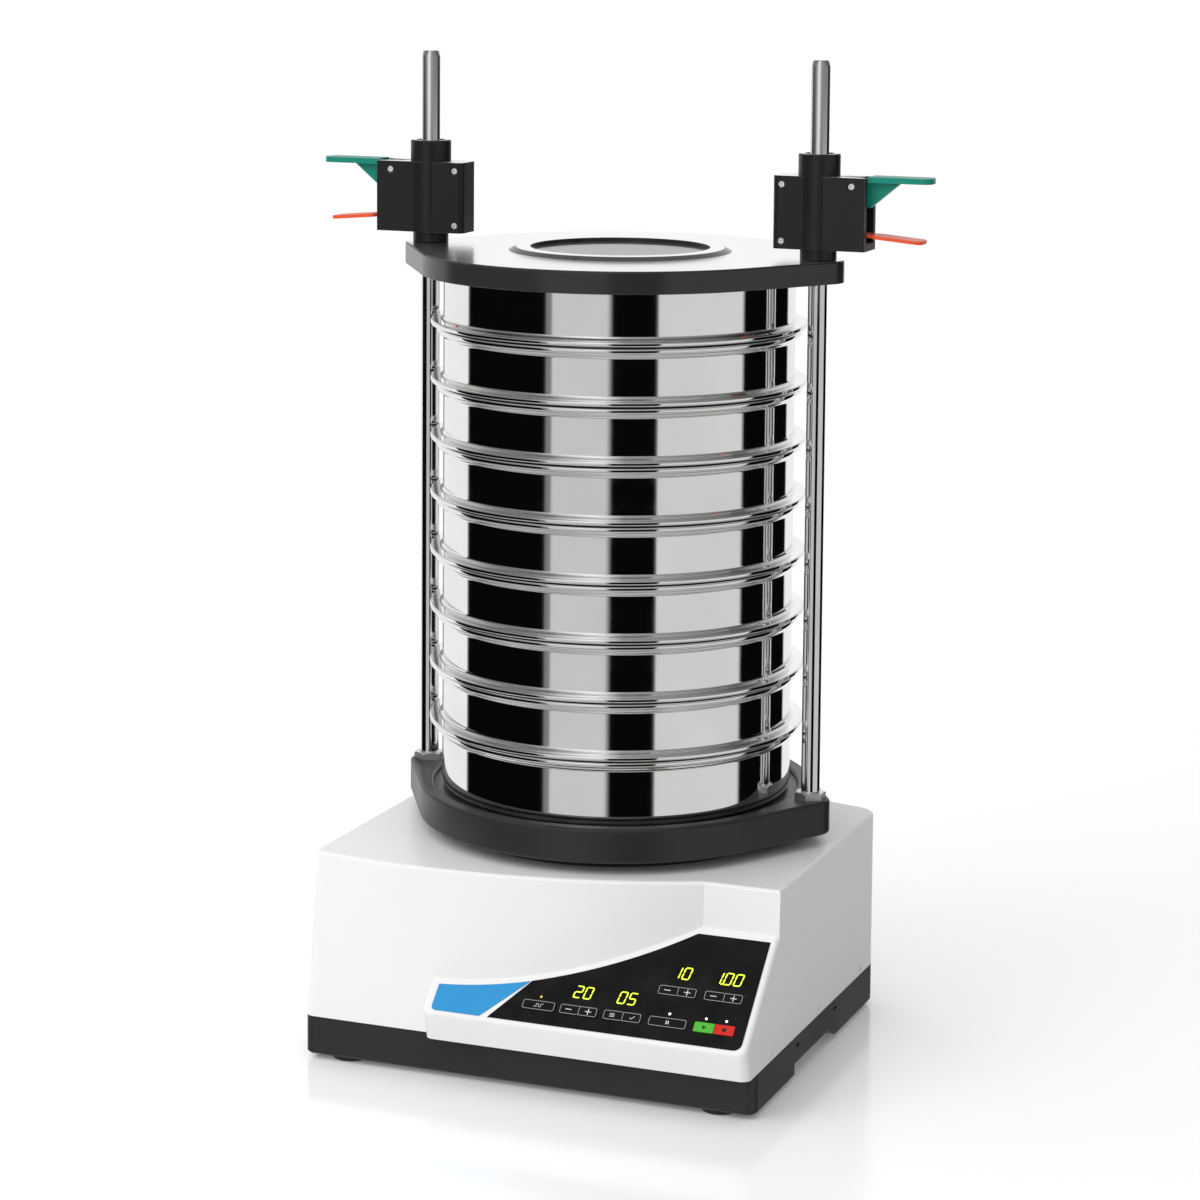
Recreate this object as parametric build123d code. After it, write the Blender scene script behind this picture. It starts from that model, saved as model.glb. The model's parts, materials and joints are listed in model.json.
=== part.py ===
from build123d import *
import os
from math import cos, radians, sin, sqrt, tan

os.makedirs("parts", exist_ok=True)

# Driving dimensions, in mm. Origin: middle of the footprint, on the table. X right, Y back, Z up.

# Lower housing and tray
BODY_WIDTH = 408.0
BODY_DEPTH = 389.0
AXIS_FROM_REAR = 157.0
TRAY_LIFT = 4.5
SEAM_Z = 38.2
TOP_Z = 177.0
HOUSING_WALL = 3.5
REAR_BULGE = 29.0
REAR_CORNER = 22.0
FRONT_CORNER = 10.0
TOP_EDGE = 3.0

# Front wall: a swept arc that leans forward towards the tray
ARC_REACH = 232.0
CREASE_FROM_RIGHT = 67.0
FRONT_TOP_SETBACK = 32.0
FRONT_FOOT_SETBACK = 20.5
ARC_TOP_RISE = 51.5
ARC_FOOT_RISE = 58.0
LEFT_TOP_RISE = 11.0
LEFT_FOOT_RISE = 0.6

# Console wedge
CONSOLE_WIDTH = 288.0
CONSOLE_SLOPE = 43.0
CONSOLE_TOP_Z = 136.3
CONSOLE_LENGTH = 108.0
CONSOLE_ROOT = 30.0
LIP_LEAN = 6.5
LIP_EDGE = 4.0
LIP_CORNER = 8.0

# Tray
TRAY_SETBACK = 22.5
TRAY_FLOOR = 5.0
TRAY_CORNER = 9.0
TRAY_CHAMFER = 1.5
UPSTAND_HEIGHT = 14.0
UPSTAND_WALL = 3.0
SHELL_GAP = 1.3
GRIP_FROM_NOSE = 128.0
GRIP_LENGTH = 92.0
GRIP_RAMP = 26.0
GRIP_HEIGHT = 11.0
GRIP_DEPTH = 28.0
GRIP_SKIN = 3.0
FOOT_INSET = 36.0
FOOT_FROM_NOSE = 42.0
FOOT_FROM_REAR = 57.0
FOOT_RADIUS = 16.0
FOOT_CHAMFER = 1.0
FOOT_PEG_RADIUS = 5.0
FOOT_PEG_FIT = 0.1
SNAP_SLOT_Z = 29.6
SNAP_SLOT_FROM_NOSE = 135.6
SNAP_SLOT_PITCH = 104.7
SNAP_SLOT_LENGTH = 9.0
SNAP_SLOT_HEIGHT = 3.0
SNAP_SLOT_DEPTH = 2.0

# Housing screws
SIDE_SCREW_Z = 45.3
SIDE_SCREW_FROM_NOSE = 63.5
SIDE_SCREW_PITCH = 123.0
SIDE_SCREW_RADIUS = 2.0
SIDE_SCREW_HEAD_RADIUS = 3.6
SIDE_SCREW_HEAD = 1.6
SCREW_CLEARANCE = 0.15
SCREW_BITE = 0.02

# Keypad
FOIL_THICKNESS = 0.6
FOIL_EDGE = 5.7
FOIL_BOTTOM_MARGIN = 3.5
FOIL_CORNER = 7.0
SWOOSH_MARGIN = 6.0
CREST_INSET = 2.0
FOIL_LEFT_FROM_RIGHT = 228.5
LABEL_GAP_FOOT = 7.5
LABEL_GAP_TIP = 1.6
LABEL_LEFT_MARGIN = 8.0
FOIL_TIP_FROM_RIGHT = 199.2
LABEL_CORNER = 4.0
KEY_ROW_LOW = 87.8
KEY_ROW_HIGH = 58.7
DISPLAY_ROW_LOW = 70.8
DISPLAY_ROW_HIGH = 41.4
LIGHT_ROW = 79.7
LIGHT_RADIUS = 1.2
KEY_HEIGHT = 8.8
KEY_WIDTH = 17.5
INTERVAL_KEY_WIDTH = 30.6
PAUSE_KEY_WIDTH = 34.8
INTERVAL_KEY_FROM_RIGHT = 202.3
INTERVAL_PAIR_FROM_RIGHT = 169.0
PROGRAM_PAIR_FROM_RIGHT = 130.3
PAUSE_KEY_FROM_RIGHT = 90.5
START_PAIR_FROM_RIGHT = 50.0
TIME_PAIR_FROM_RIGHT = 89.8
AMPLITUDE_PAIR_FROM_RIGHT = 49.6
KEY_GAP = 0.5
KEY_CLEARANCE = 0.3
KEY_PROUD = 0.35
KEY_CAP = 2.0
KEY_STEM_RADIUS = 2.5
KEY_TRAVEL = 0.3
KEY_STOP_GAP = 0.05
KEY_CORNER = 1.0
BOARD_DEPTH = 12.0
BOARD_THICKNESS = 1.6
BOARD_MARGIN = 10.0
BOARD_EDGE = 2.0
BOARD_WING_MARGIN = 4.0
BOARD_POST_RADIUS = 3.5
BOARD_POST_INSET = 4.0
DISPLAY_HEIGHT = 14.0
DISPLAY_WIDTH = 27.0
WIDE_DISPLAY_WIDTH = 32.5
UPPER_DISPLAY_SHIFT = 2.3
DISPLAY_FIT = 0.3
LIGHT_FIT = 0.1

# Drive
DRIVE_GAP = 2.5
COLUMN_HEIGHT = 64.0
BUFFER_HEIGHT = 18.0
BUFFER_RADIUS = 18.0
BUFFER_RING = 100.0
MASS_RADIUS = 138.0
MASS_HEIGHT = 30.0
MASS_EDGE = 3.0
MASS_BOSS_RADIUS = 62.0
MASS_BOSS = 8.0
CORE_LENGTH = 90.0
CORE_DEPTH = 56.0
CORE_YOKE = 16.0
CORE_LEG = 24.0
CORE_SIDE_LEG = 14.0
COIL_WALL = 17.0
COIL_GAP = 0.5
COIL_CORNER = 8.0
COIL_DROP = 1.5
ARMATURE_HEIGHT = 14.0
SPRING_RING = 104.0
SPRING_RADIUS = 16.0
SPRING_WAIST = 12.0
SPRING_END = 4.0
SPRING_COUNT = 6
CARRIER_RADIUS = 124.0
CARRIER_HEIGHT = 10.0
COLUMN_RADIUS = 84.0
COLUMN_WALL = 9.0
TOP_OPENING_RADIUS = 118.0
BOOT_RADIUS = 146.0
BOOT_WALL = 4.0
BOOT_FOLD = 5.0

# Sieve plate, rods and nuts
PLATE_BOTTOM_Z = 187.0
PLATE_TOP_Z = 217.0
PLATE_BORDER = 13.5
PLATE_EAR_RADIUS = 17.0
PLATE_EDGE = 3.5
RECESS_MARGIN = 0.5
RECESS_DEPTH = 4.3
RECESS_CHAMFER = 2.0
ROD_FLANGE_GAP = 7.8
ROD_RADIUS = 8.2
ROD_TOP_Z = 856.5
ROD_CHAMFER = 3.0
ROD_FIT = 0.1
NUT_ACROSS_FLATS = 24.0
NUT_HEIGHT = 6.0

# Sieves and pan
SIEVE_COUNT = 8
SIEVE_PITCH = 50.0
SIEVE_RADIUS = 153.8
SIEVE_WALL = 1.2
FLANGE_REACH = 11.2
FLANGE_HEIGHT = 2.6
FLANGE_BEVEL = 1.0
COVE_HEIGHT = 6.0
COVE_REACH = 2.2
RIM_REACH = 6.2
RIM_HEIGHT = 9.0
RIM_BEVEL = 1.0
RIM_CONE = 2.5
SKIRT_DEPTH = 8.0
SKIRT_GAP = 0.6
SKIRT_TAPER = 0.8
MESH_SEAT = 1.0
JOINT_GAP = 2.2
SEAL_REACH = 1.7
SEAL_WIDTH = 2.6
SEAT_GAP = 0.3
MESH_THICKNESS = 0.8
PAN_CORNER = 8.0

# Cover
COVER_THICKNESS = 19.2
COVER_OVERHANG = 1.0
COVER_EAR_RADIUS = 22.5
COVER_EDGE = 1.2
COVER_RECESS = 3.0
COVER_RECESS_GAP = 2.0
COVER_BORE_GAP = 0.6
COVER_RING_FOOT = 97.4
COVER_RING_TOP = 91.0
COVER_RING_HEIGHT = 3.5
WINDOW_RADIUS = 78.2
WINDOW_SHOULDER = 5.0
WINDOW_THICKNESS = 4.0
WINDOW_DEPTH = 3.0
WINDOW_FIT = 0.05

# Clamps: "out" is the distance from the rod axis towards the lever side
CLAMP_OUT = 45.5
CLAMP_IN = 37.0
CLAMP_DEPTH = 32.0
CLAMP_HEIGHT = 62.5
CLAMP_STANDOFF = 9.5
CLAMP_CORNER = 6.0
CLAMP_WALL = 6.0
BULGE_RADIUS = 18.5
COLLAR_RADIUS = 18.0
COLLAR_HEIGHT = 19.0
COLLAR_EDGE = 1.0
COLLAR_MOUTH_RADIUS = 12.5
COLLAR_MOUTH = 3.0
FOOT_SLEEVE_RADIUS = 15.7
BUSH_SPIGOT_RADIUS = 12.5
BUSH_FIT = 0.05
CLAMP_SCREW_IN = 29.0
CLAMP_SCREW_OUT = 33.0
CLAMP_SCREW_EDGE = 7.5
CLAMP_SCREW_RADIUS = 2.0
CLAMP_SCREW_HEAD_RADIUS = 3.1
CLAMP_SCREW_HEAD = 3.0
CLAMP_SCREW_SINK = 4.0
CLAMP_SCREW_GAP = 0.4
CLAMP_SCREW_BACK = 5.0
SOCKET_RADIUS = 1.4
CAVITY_IN = 22.0
CAVITY_HALF_DEPTH = 10.5
SLOT_TOP_DEPTH = 6.0
SHELF_IN = 11.0
SHELF_OUT = 21.5
SHELF_DROP = 12.0
LEDGE = 3.0
LEVER_PIVOT_OUT = 33.0
LEVER_PIVOT_DROP = 16.5
LEVER_PIN_RADIUS = 2.5
PIN_FIT = 0.05
PIN_BITE = 4.0
LEVER_BOSS_RADIUS = 5.5
LEVER_PAD_TIP = 101.0
LEVER_PAD_THICKNESS = 4.8
LEVER_PAD_WIDTH = 23.0
LEVER_PAD_RISE = 1.0
LEVER_PAD_GAP = 0.6
LEVER_WEB_TIP = 73.5
LEVER_WEB_DROP = 27.0
LEVER_WEB_WIDTH = 7.0
LEVER_NOSE = 9.0
LEVER_NOSE_TIP = 1.5
LEVER_NOSE_WIDTH = 5.0
JAM_OUT = 27.0
JAM_THICKNESS = 4.0
JAM_HOLE_GAP = 0.75
JAM_RISE = 2.0
PLATE_END_GAP = 0.4
PLATE_SIDE_GAP = 0.6
RELEASE_TIP = 94.0
RELEASE_TILT = 5.0
RELEASE_THICKNESS = 3.0
RELEASE_NECK_WIDTH = 15.0
RELEASE_PAD_WIDTH = 23.0
RELEASE_PAD_START = 49.5
RELEASE_Z = 19.1
CLAMP_SPRING_STRIP = 0.8
CLAMP_SPRING_WIDTH = 6.0
CLAMP_SPRING_REACH = 7.0
CLAMP_SPRING_OUT = 12.8

# Mains inlet and switch, in the middle of the rear wall
INLET_Z = 100.0
INLET_WIDTH = 30.0
INLET_FLANGE_WIDTH = 36.0
INLET_FLANGE_HEIGHT = 62.0
INLET_FLANGE = 2.5
INLET_SEAT = 0.6
INLET_FIT = 0.3
INLET_BODY_DEPTH = 26.0
INLET_BODY_HEIGHT = 54.0
SOCKET_WIDTH = 24.0
SOCKET_HEIGHT = 16.5
SOCKET_DEPTH = 19.0
SOCKET_DROP = 14.0
SWITCH_RISE = 13.0
SWITCH_WIDTH = 19.0
SWITCH_HEIGHT = 13.0
SWITCH_DEPTH = 10.0
SWITCH_CLEARANCE = 0.8
SWITCH_BODY = 6.5
SWITCH_DIP = 0.8
SWITCH_PROUD = 1.4
SWITCH_TAPER = 1.0
INLET_PIN_LENGTH = 9.0
INLET_PIN_PITCH = 7.0
INLET_PIN_LIFT = 2.0
INLET_PIN_THICKNESS = 2.0

# Places that follow from the sizes above
HALF_WIDTH = BODY_WIDTH / 2
NOSE_TO_AXIS = BODY_DEPTH - AXIS_FROM_REAR
CREASE_X = HALF_WIDTH - CREASE_FROM_RIGHT
ARC_NOSE_X = CREASE_X - ARC_REACH
CONSOLE_LEFT = HALF_WIDTH - CONSOLE_WIDTH
FOIL_LEFT_X = HALF_WIDTH - FOIL_LEFT_FROM_RIGHT
FOIL_TIP_X = HALF_WIDTH - FOIL_TIP_FROM_RIGHT
FOOT_X = HALF_WIDTH - FOOT_INSET
RIM_RADIUS = SIEVE_RADIUS + RIM_REACH
FLANGE_RADIUS = SIEVE_RADIUS + FLANGE_REACH
SEAL_RADIUS = SIEVE_RADIUS + SEAL_REACH
RECESS_RADIUS = RIM_RADIUS + RECESS_MARGIN
PLATE_RADIUS = RECESS_RADIUS + PLATE_BORDER
COVER_RADIUS = PLATE_RADIUS + COVER_OVERHANG
NOSE_Y = -(NOSE_TO_AXIS + COVER_RADIUS) / 2
REAR_Y = NOSE_Y + BODY_DEPTH
AXIS_Y = NOSE_Y + NOSE_TO_AXIS
SLOPE_RUN = cos(radians(CONSOLE_SLOPE))
SLOPE_FALL = sin(radians(CONSOLE_SLOPE))
CONSOLE_TOP_Y = NOSE_Y + CONSOLE_LENGTH * SLOPE_RUN
FRONT_TOP_Y = NOSE_Y + FRONT_TOP_SETBACK
FRONT_FOOT_Y = NOSE_Y + FRONT_FOOT_SETBACK
TRAY_FRONT_Y = NOSE_Y + TRAY_SETBACK
FLOOR_Z = TRAY_LIFT + TRAY_FLOOR
ROD_X = FLANGE_RADIUS + ROD_FLANGE_GAP + ROD_RADIUS
RECESS_Z = PLATE_TOP_Z - RECESS_DEPTH
PAN_BOTTOM_Z = RECESS_Z + SEAT_GAP
PAN_JOINT_Z = 270.3
COVER_JOINT_Z = PAN_JOINT_Z + SIEVE_COUNT * SIEVE_PITCH
COVER_BOTTOM_Z = COVER_JOINT_Z - COVER_RECESS
COVER_TOP_Z = COVER_BOTTOM_Z + COVER_THICKNESS
CLAMP_Z = COVER_TOP_Z + CLAMP_STANDOFF
CLAMP_TOP_Z = CLAMP_Z + CLAMP_HEIGHT
MASS_Z = FLOOR_Z + BUFFER_HEIGHT
MASS_TOP_Z = MASS_Z + MASS_HEIGHT
CARRIER_Z = PLATE_BOTTOM_Z - COLUMN_HEIGHT
ARMATURE_Z = CARRIER_Z - ARMATURE_HEIGHT
CORE_TOP_Z = ARMATURE_Z - DRIVE_GAP
CORE_Z = MASS_TOP_Z + MASS_BOSS
SIDE_SCREW_YS = [NOSE_Y + SIDE_SCREW_FROM_NOSE + i * SIDE_SCREW_PITCH for i in range(3)]
UPSTAND_INSET = HOUSING_WALL + SHELL_GAP
PLATE_END = CAVITY_IN - PLATE_END_GAP
INLET_FACE_Y = REAR_Y - INLET_SEAT + INLET_FLANGE


def save(name, *solids):
    """Write one node, as one shape or a group of separate solids."""
    shape = solids[0] if len(solids) == 1 else Compound(children=list(solids))
    export_step(shape, f"parts/{name}.step")


def box(x0, x1, y0, y1, z0, z1):
    """Box between two corners."""
    centre = ((x0 + x1) / 2, (y0 + y1) / 2, (z0 + z1) / 2)
    return Pos(*centre) * Box(x1 - x0, y1 - y0, z1 - z0)


def drum(radius, z0, z1, x=0.0, y=0.0):
    """Upright cylinder between two heights."""
    return Pos(x, y, (z0 + z1) / 2) * Cylinder(radius, z1 - z0)


def bar(radius, length, x, y, z, along):
    """Round bar whose middle is at x, y, z and whose axis is 'x' or 'y'."""
    turn = Rot(0, 90, 0) if along == "x" else Rot(90, 0, 0)
    return Pos(x, y, z) * turn * Cylinder(radius, length)


def turned(points, y=AXIS_Y):
    """Solid of revolution about the stack axis, from (radius, height) points."""
    outline = make_face(Polyline(*[(r, 0, z) for r, z in points], close=True))
    return Pos(0, y, 0) * revolve(outline, Axis.Z)


def side_prism(points, x0, x1):
    """Prism along X between x0 and x1, from (y, z) points."""
    outline = make_face(Polyline(*[(x0, y, z) for y, z in points], close=True))
    return extrude(outline, amount=x1 - x0, dir=(1, 0, 0))


def body_plan(z, nose_y, arc_rise, left_rise, inset):
    """Outline of the housing at one height, moved inwards by inset."""
    half = HALF_WIDTH - inset
    front = nose_y + inset
    left = (-half, front + left_rise)
    nose = (ARC_NOSE_X, front)
    crease = (CREASE_X, front + arc_rise)
    right = (half, front + arc_rise)
    shoulder = REAR_Y - REAR_BULGE
    outline = [
        TangentArc(nose, left, tangent=(-1, 0)),
        TangentArc(nose, crease, tangent=(1, 0)),
        Line(crease, right),
        Line(right, (half, shoulder - inset)),
        ThreePointArc((half, shoulder - inset), (0, REAR_Y - inset), (-half, shoulder - inset)),
        Line((-half, shoulder - inset), left),
    ]
    plan = make_face(outline)
    rear = plan.vertices().sort_by(Axis.Y)[-2:]
    plan = fillet(rear, max(REAR_CORNER - inset, 1.0))
    front_left = plan.vertices().sort_by(lambda v: v.X + v.Y)[0:1]
    plan = fillet(front_left, max(FRONT_CORNER - inset, 1.0))
    return Pos(0, 0, z) * plan


def body_block(inset, bottom_z, top_z):
    """Leaning block of the housing, between the seam and the top."""
    foot_share = (bottom_z - SEAM_Z) / (TOP_Z - SEAM_Z)
    top_share = (top_z - SEAM_Z) / (TOP_Z - SEAM_Z)
    plans = []
    for z, share in ((bottom_z, foot_share), (top_z, top_share)):
        nose_y = FRONT_FOOT_Y + share * (FRONT_TOP_Y - FRONT_FOOT_Y)
        arc_rise = ARC_FOOT_RISE + share * (ARC_TOP_RISE - ARC_FOOT_RISE)
        left_rise = LEFT_FOOT_RISE + share * (LEFT_TOP_RISE - LEFT_FOOT_RISE)
        plans.append(body_plan(z, nose_y, arc_rise, left_rise, inset))
    return loft(plans, ruled=True)


def console_wedge(inset):
    """Wedge under the sloping console, moved inwards by inset."""
    slope = tan(radians(CONSOLE_SLOPE))
    drop = CONSOLE_TOP_Z - inset / SLOPE_RUN
    floor = SEAM_Z + inset
    root_y = CONSOLE_TOP_Y + CONSOLE_ROOT
    nose_y = NOSE_Y + inset
    points = [
        (root_y, floor),
        (root_y, drop + CONSOLE_ROOT * slope),
        (nose_y, drop - (CONSOLE_TOP_Y - nose_y) * slope),
        (nose_y + LIP_LEAN, floor),
    ]
    return side_prism(points, CONSOLE_LEFT + inset, HALF_WIDTH - inset)


def housing_outer():
    """Outer form of the housing: leaning block and console, with its soft edges."""
    block = body_block(0.0, SEAM_Z, TOP_Z)
    block = fillet(block.faces().sort_by(Axis.Z)[-1].edges(), TOP_EDGE)
    wedge = console_wedge(0.0)
    lip_ends = wedge.edges().filter_by(lambda e: e.center().Y < NOSE_Y + LIP_LEAN)
    wedge = fillet(lip_ends.filter_by(lambda e: abs(e.tangent_at(0.5).X) < 0.5), LIP_CORNER)
    nose_edges = wedge.edges().filter_by(lambda e: abs(e.center().Y - NOSE_Y) < 0.01)
    wedge = fillet(nose_edges, LIP_EDGE)
    return block + wedge


def on_console(x, run, height=0.0):
    """Point on the console: x across, run down the slope, height along its normal."""
    y = CONSOLE_TOP_Y - run * SLOPE_RUN - height * SLOPE_FALL
    z = CONSOLE_TOP_Z - run * SLOPE_FALL + height * SLOPE_RUN
    return Vector(x, y, z)


CONSOLE = Plane(
    origin=on_console(0, 0),
    x_dir=(1, 0, 0),
    z_dir=(0, -SLOPE_FALL, SLOPE_RUN),
)


def console_pad(x0, x1, run0, run1, low, high):
    """Block standing on the console between two heights along its normal."""
    centre = ((x0 + x1) / 2, -(run0 + run1) / 2, (low + high) / 2)
    return CONSOLE * Pos(*centre) * Box(x1 - x0, run1 - run0, high - low)


def console_peg(x, run, radius, low, high):
    """Round peg standing on the console."""
    return CONSOLE * Pos(x, -run, (low + high) / 2) * Cylinder(radius, high - low)


def key_span(from_right, width, row, step=0):
    """Left edge, right edge and row of a key; step counts the keys of a pair from the left."""
    left = HALF_WIDTH - from_right + step * width
    return left, left + width, row


KEY_SPANS = {
    "interval_key": key_span(INTERVAL_KEY_FROM_RIGHT, INTERVAL_KEY_WIDTH, KEY_ROW_LOW),
    "interval_minus_key": key_span(INTERVAL_PAIR_FROM_RIGHT, KEY_WIDTH, KEY_ROW_LOW),
    "interval_plus_key": key_span(INTERVAL_PAIR_FROM_RIGHT, KEY_WIDTH, KEY_ROW_LOW, 1),
    "program_key": key_span(PROGRAM_PAIR_FROM_RIGHT, KEY_WIDTH, KEY_ROW_LOW),
    "set_key": key_span(PROGRAM_PAIR_FROM_RIGHT, KEY_WIDTH, KEY_ROW_LOW, 1),
    "pause_key": key_span(PAUSE_KEY_FROM_RIGHT, PAUSE_KEY_WIDTH, KEY_ROW_LOW),
    "start_key": key_span(START_PAIR_FROM_RIGHT, KEY_WIDTH, KEY_ROW_LOW),
    "stop_key": key_span(START_PAIR_FROM_RIGHT, KEY_WIDTH, KEY_ROW_LOW, 1),
    "time_minus_key": key_span(TIME_PAIR_FROM_RIGHT, KEY_WIDTH, KEY_ROW_HIGH),
    "time_plus_key": key_span(TIME_PAIR_FROM_RIGHT, KEY_WIDTH, KEY_ROW_HIGH, 1),
    "amplitude_minus_key": key_span(AMPLITUDE_PAIR_FROM_RIGHT, KEY_WIDTH, KEY_ROW_HIGH),
    "amplitude_plus_key": key_span(AMPLITUDE_PAIR_FROM_RIGHT, KEY_WIDTH, KEY_ROW_HIGH, 1),
}


def display_span(left_key, width, row, shift=0.0):
    """Span of a display over a pair of keys, given the pair's left key."""
    centre = KEY_SPANS[left_key][1] + shift
    return centre - width / 2, centre + width / 2, row


DISPLAY_SPANS = (
    display_span("interval_minus_key", DISPLAY_WIDTH, DISPLAY_ROW_LOW),
    display_span("program_key", DISPLAY_WIDTH, DISPLAY_ROW_LOW),
    display_span("time_minus_key", DISPLAY_WIDTH, DISPLAY_ROW_HIGH, UPPER_DISPLAY_SHIFT),
    display_span("amplitude_minus_key", WIDE_DISPLAY_WIDTH, DISPLAY_ROW_HIGH, UPPER_DISPLAY_SHIFT),
)

# Indicator lights stand above the middle of these keys
LIGHT_KEYS = ("interval_key", "pause_key", "start_key", "stop_key")
LIGHT_XS = [(KEY_SPANS[key][0] + KEY_SPANS[key][1]) / 2 for key in LIGHT_KEYS]


def key_windows(low, high, clearance):
    """Blocks that clear every key cap by the given clearance."""
    blocks = []
    for left, right, row in KEY_SPANS.values():
        top = row - KEY_HEIGHT / 2 - clearance
        foot = row + KEY_HEIGHT / 2 + clearance
        blocks.append(console_pad(left - clearance, right + clearance, top, foot, low, high))
    return blocks


def display_windows(low, high, clearance):
    """Blocks that clear every display and indicator light."""
    blocks = []
    for left, right, row in DISPLAY_SPANS:
        top = row - DISPLAY_HEIGHT / 2 - clearance
        foot = row + DISPLAY_HEIGHT / 2 + clearance
        blocks.append(console_pad(left - clearance, right + clearance, top, foot, low, high))
    for x in LIGHT_XS:
        blocks.append(console_peg(x, LIGHT_ROW, LIGHT_RADIUS + clearance, low, high))
    return blocks


def arc_height(x, nose_y, rise):
    """Y of a front-wall arc at x, tangent to X at its nose."""
    reach = CREASE_X - ARC_NOSE_X
    radius = (reach**2 + rise**2) / (2 * rise)
    return nose_y + radius - sqrt(radius**2 - (x - ARC_NOSE_X) ** 2)


def swoosh_run(x):
    """Distance down the console slope at which the front wall meets it, at x."""
    foot_y = arc_height(x, FRONT_FOOT_Y, ARC_FOOT_RISE)
    top_y = arc_height(x, FRONT_TOP_Y, ARC_TOP_RISE)
    lean = (top_y - foot_y) / (TOP_Z - SEAM_Z)
    wall_y = foot_y + lean * (CONSOLE_TOP_Z - SEAM_Z)
    return (CONSOLE_TOP_Y - wall_y) / (SLOPE_RUN - lean * SLOPE_FALL)


def console_sheet(outline):
    """Thin sheet lying on the console, from edges in console coordinates."""
    return extrude(CONSOLE * make_face(outline), amount=FOIL_THICKNESS)


def swoosh_arc(x0, x1):
    """Arc just below the line where wall and console meet, between two places."""
    points = [(x, -swoosh_run(x) - SWOOSH_MARGIN) for x in (x0, (x0 + x1) / 2, x1)]
    return ThreePointArc(*points)


def make_foil():
    """Black keypad foil with its windows for keys, displays and lights."""
    right = HALF_WIDTH - FOIL_EDGE
    foot = -(CONSOLE_LENGTH - FOIL_BOTTOM_MARGIN)
    sweep = swoosh_arc(FOIL_TIP_X, CREASE_X - CREST_INSET)
    tip, crest = sweep @ 0, sweep @ 1
    outline = [
        sweep,
        Line((crest.X, crest.Y), (right, crest.Y)),
        Line((right, crest.Y), (right, foot)),
        Line((right, foot), (FOIL_LEFT_X, foot)),
        Line((FOIL_LEFT_X, foot), (tip.X, tip.Y)),
    ]
    foil = console_sheet(outline)
    short = foil.edges().filter_by(lambda e: e.length < 1.0)
    corner = short.sort_by(lambda e: e.center().Z - e.center().X)[0:1]
    foil = fillet(corner, FOIL_CORNER)
    for block in key_windows(-1.0, 1.0, KEY_CLEARANCE) + display_windows(-1.0, 1.0, 0.0):
        foil -= block
    return foil


def make_label():
    """Blue plate at the left end of the console, left bare."""
    foot = -(CONSOLE_LENGTH - FOIL_BOTTOM_MARGIN)
    left = CONSOLE_LEFT + LABEL_LEFT_MARGIN
    sweep = swoosh_arc(left, FOIL_TIP_X - LABEL_GAP_TIP)
    high, tip = sweep @ 0, sweep @ 1
    right_foot = FOIL_LEFT_X - LABEL_GAP_FOOT
    outline = [
        sweep,
        Line((tip.X, tip.Y), (right_foot, foot)),
        Line((right_foot, foot), (left, foot)),
        Line((left, foot), (high.X, high.Y)),
    ]
    label = console_sheet(outline)
    short = label.edges().filter_by(lambda e: e.length < 1.0)
    corner = short.sort_by(lambda e: e.center().X + e.center().Z)[0:1]
    return fillet(corner, LABEL_CORNER)


def inlet_cutout(clearance):
    """Block through the rear wall for the inlet body."""
    half = INLET_WIDTH / 2 + clearance
    tall = INLET_BODY_HEIGHT / 2 + clearance
    inner_y = REAR_Y - INLET_BODY_DEPTH
    return box(-half, half, inner_y, REAR_Y + INLET_FLANGE, INLET_Z - tall, INLET_Z + tall)


def make_housing():
    """Moulded white housing: shell, board posts and every opening in it."""
    shell = housing_outer()
    shell -= body_block(HOUSING_WALL, SEAM_Z - 1.0, TOP_Z - HOUSING_WALL)
    shell -= console_wedge(HOUSING_WALL)
    shell -= tray_block(HOUSING_WALL, SEAM_Z - 1, SEAM_Z + HOUSING_WALL + 1)
    for x, run in board_posts():
        shell += console_peg(x, run, BOARD_POST_RADIUS, -BOARD_DEPTH, -HOUSING_WALL / 2)
    shell -= drum(TOP_OPENING_RADIUS, TOP_Z - 2 * HOUSING_WALL, TOP_Z + 1, y=AXIS_Y)
    deep = -HOUSING_WALL - 1.0
    for block in key_windows(deep, 1.0, KEY_CLEARANCE) + display_windows(deep, 1.0, DISPLAY_FIT):
        shell -= block
    hole = SIDE_SCREW_RADIUS + SCREW_CLEARANCE
    for side in (-1, 1):
        for y in SIDE_SCREW_YS:
            shell -= bar(hole, 4 * HOUSING_WALL, side * HALF_WIDTH, y, SIDE_SCREW_Z, "x")
    wide, tall = INLET_FLANGE_WIDTH / 2 + INLET_FIT, INLET_FLANGE_HEIGHT / 2 + INLET_FIT
    flat = box(-wide, wide, REAR_Y - INLET_SEAT, REAR_Y + INLET_FLANGE, INLET_Z - tall, INLET_Z + tall)
    return shell - flat - inlet_cutout(INLET_FIT)


def board_span():
    """Edges of the control board: left, right, upper run and lower run."""
    lefts = [span[0] for span in KEY_SPANS.values()]
    rights = [span[1] for span in KEY_SPANS.values()]
    left = min(lefts) - BOARD_MARGIN
    right = min(max(rights) + BOARD_MARGIN, HALF_WIDTH - HOUSING_WALL - 1.0)
    return left, right, DISPLAY_ROW_LOW - DISPLAY_HEIGHT, KEY_ROW_LOW + KEY_HEIGHT / 2 + BOARD_EDGE


def board_posts():
    """Places of the posts that carry the control board."""
    left, right, upper, lower = board_span()
    inset = BOARD_POST_INSET
    between = (KEY_SPANS["set_key"][1] + KEY_SPANS["pause_key"][0]) / 2
    return [
        (left + inset, upper + inset),
        (left + inset, lower - inset),
        (between, upper + inset),
        (right - inset, KEY_ROW_HIGH + KEY_HEIGHT + inset),
    ]


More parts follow.
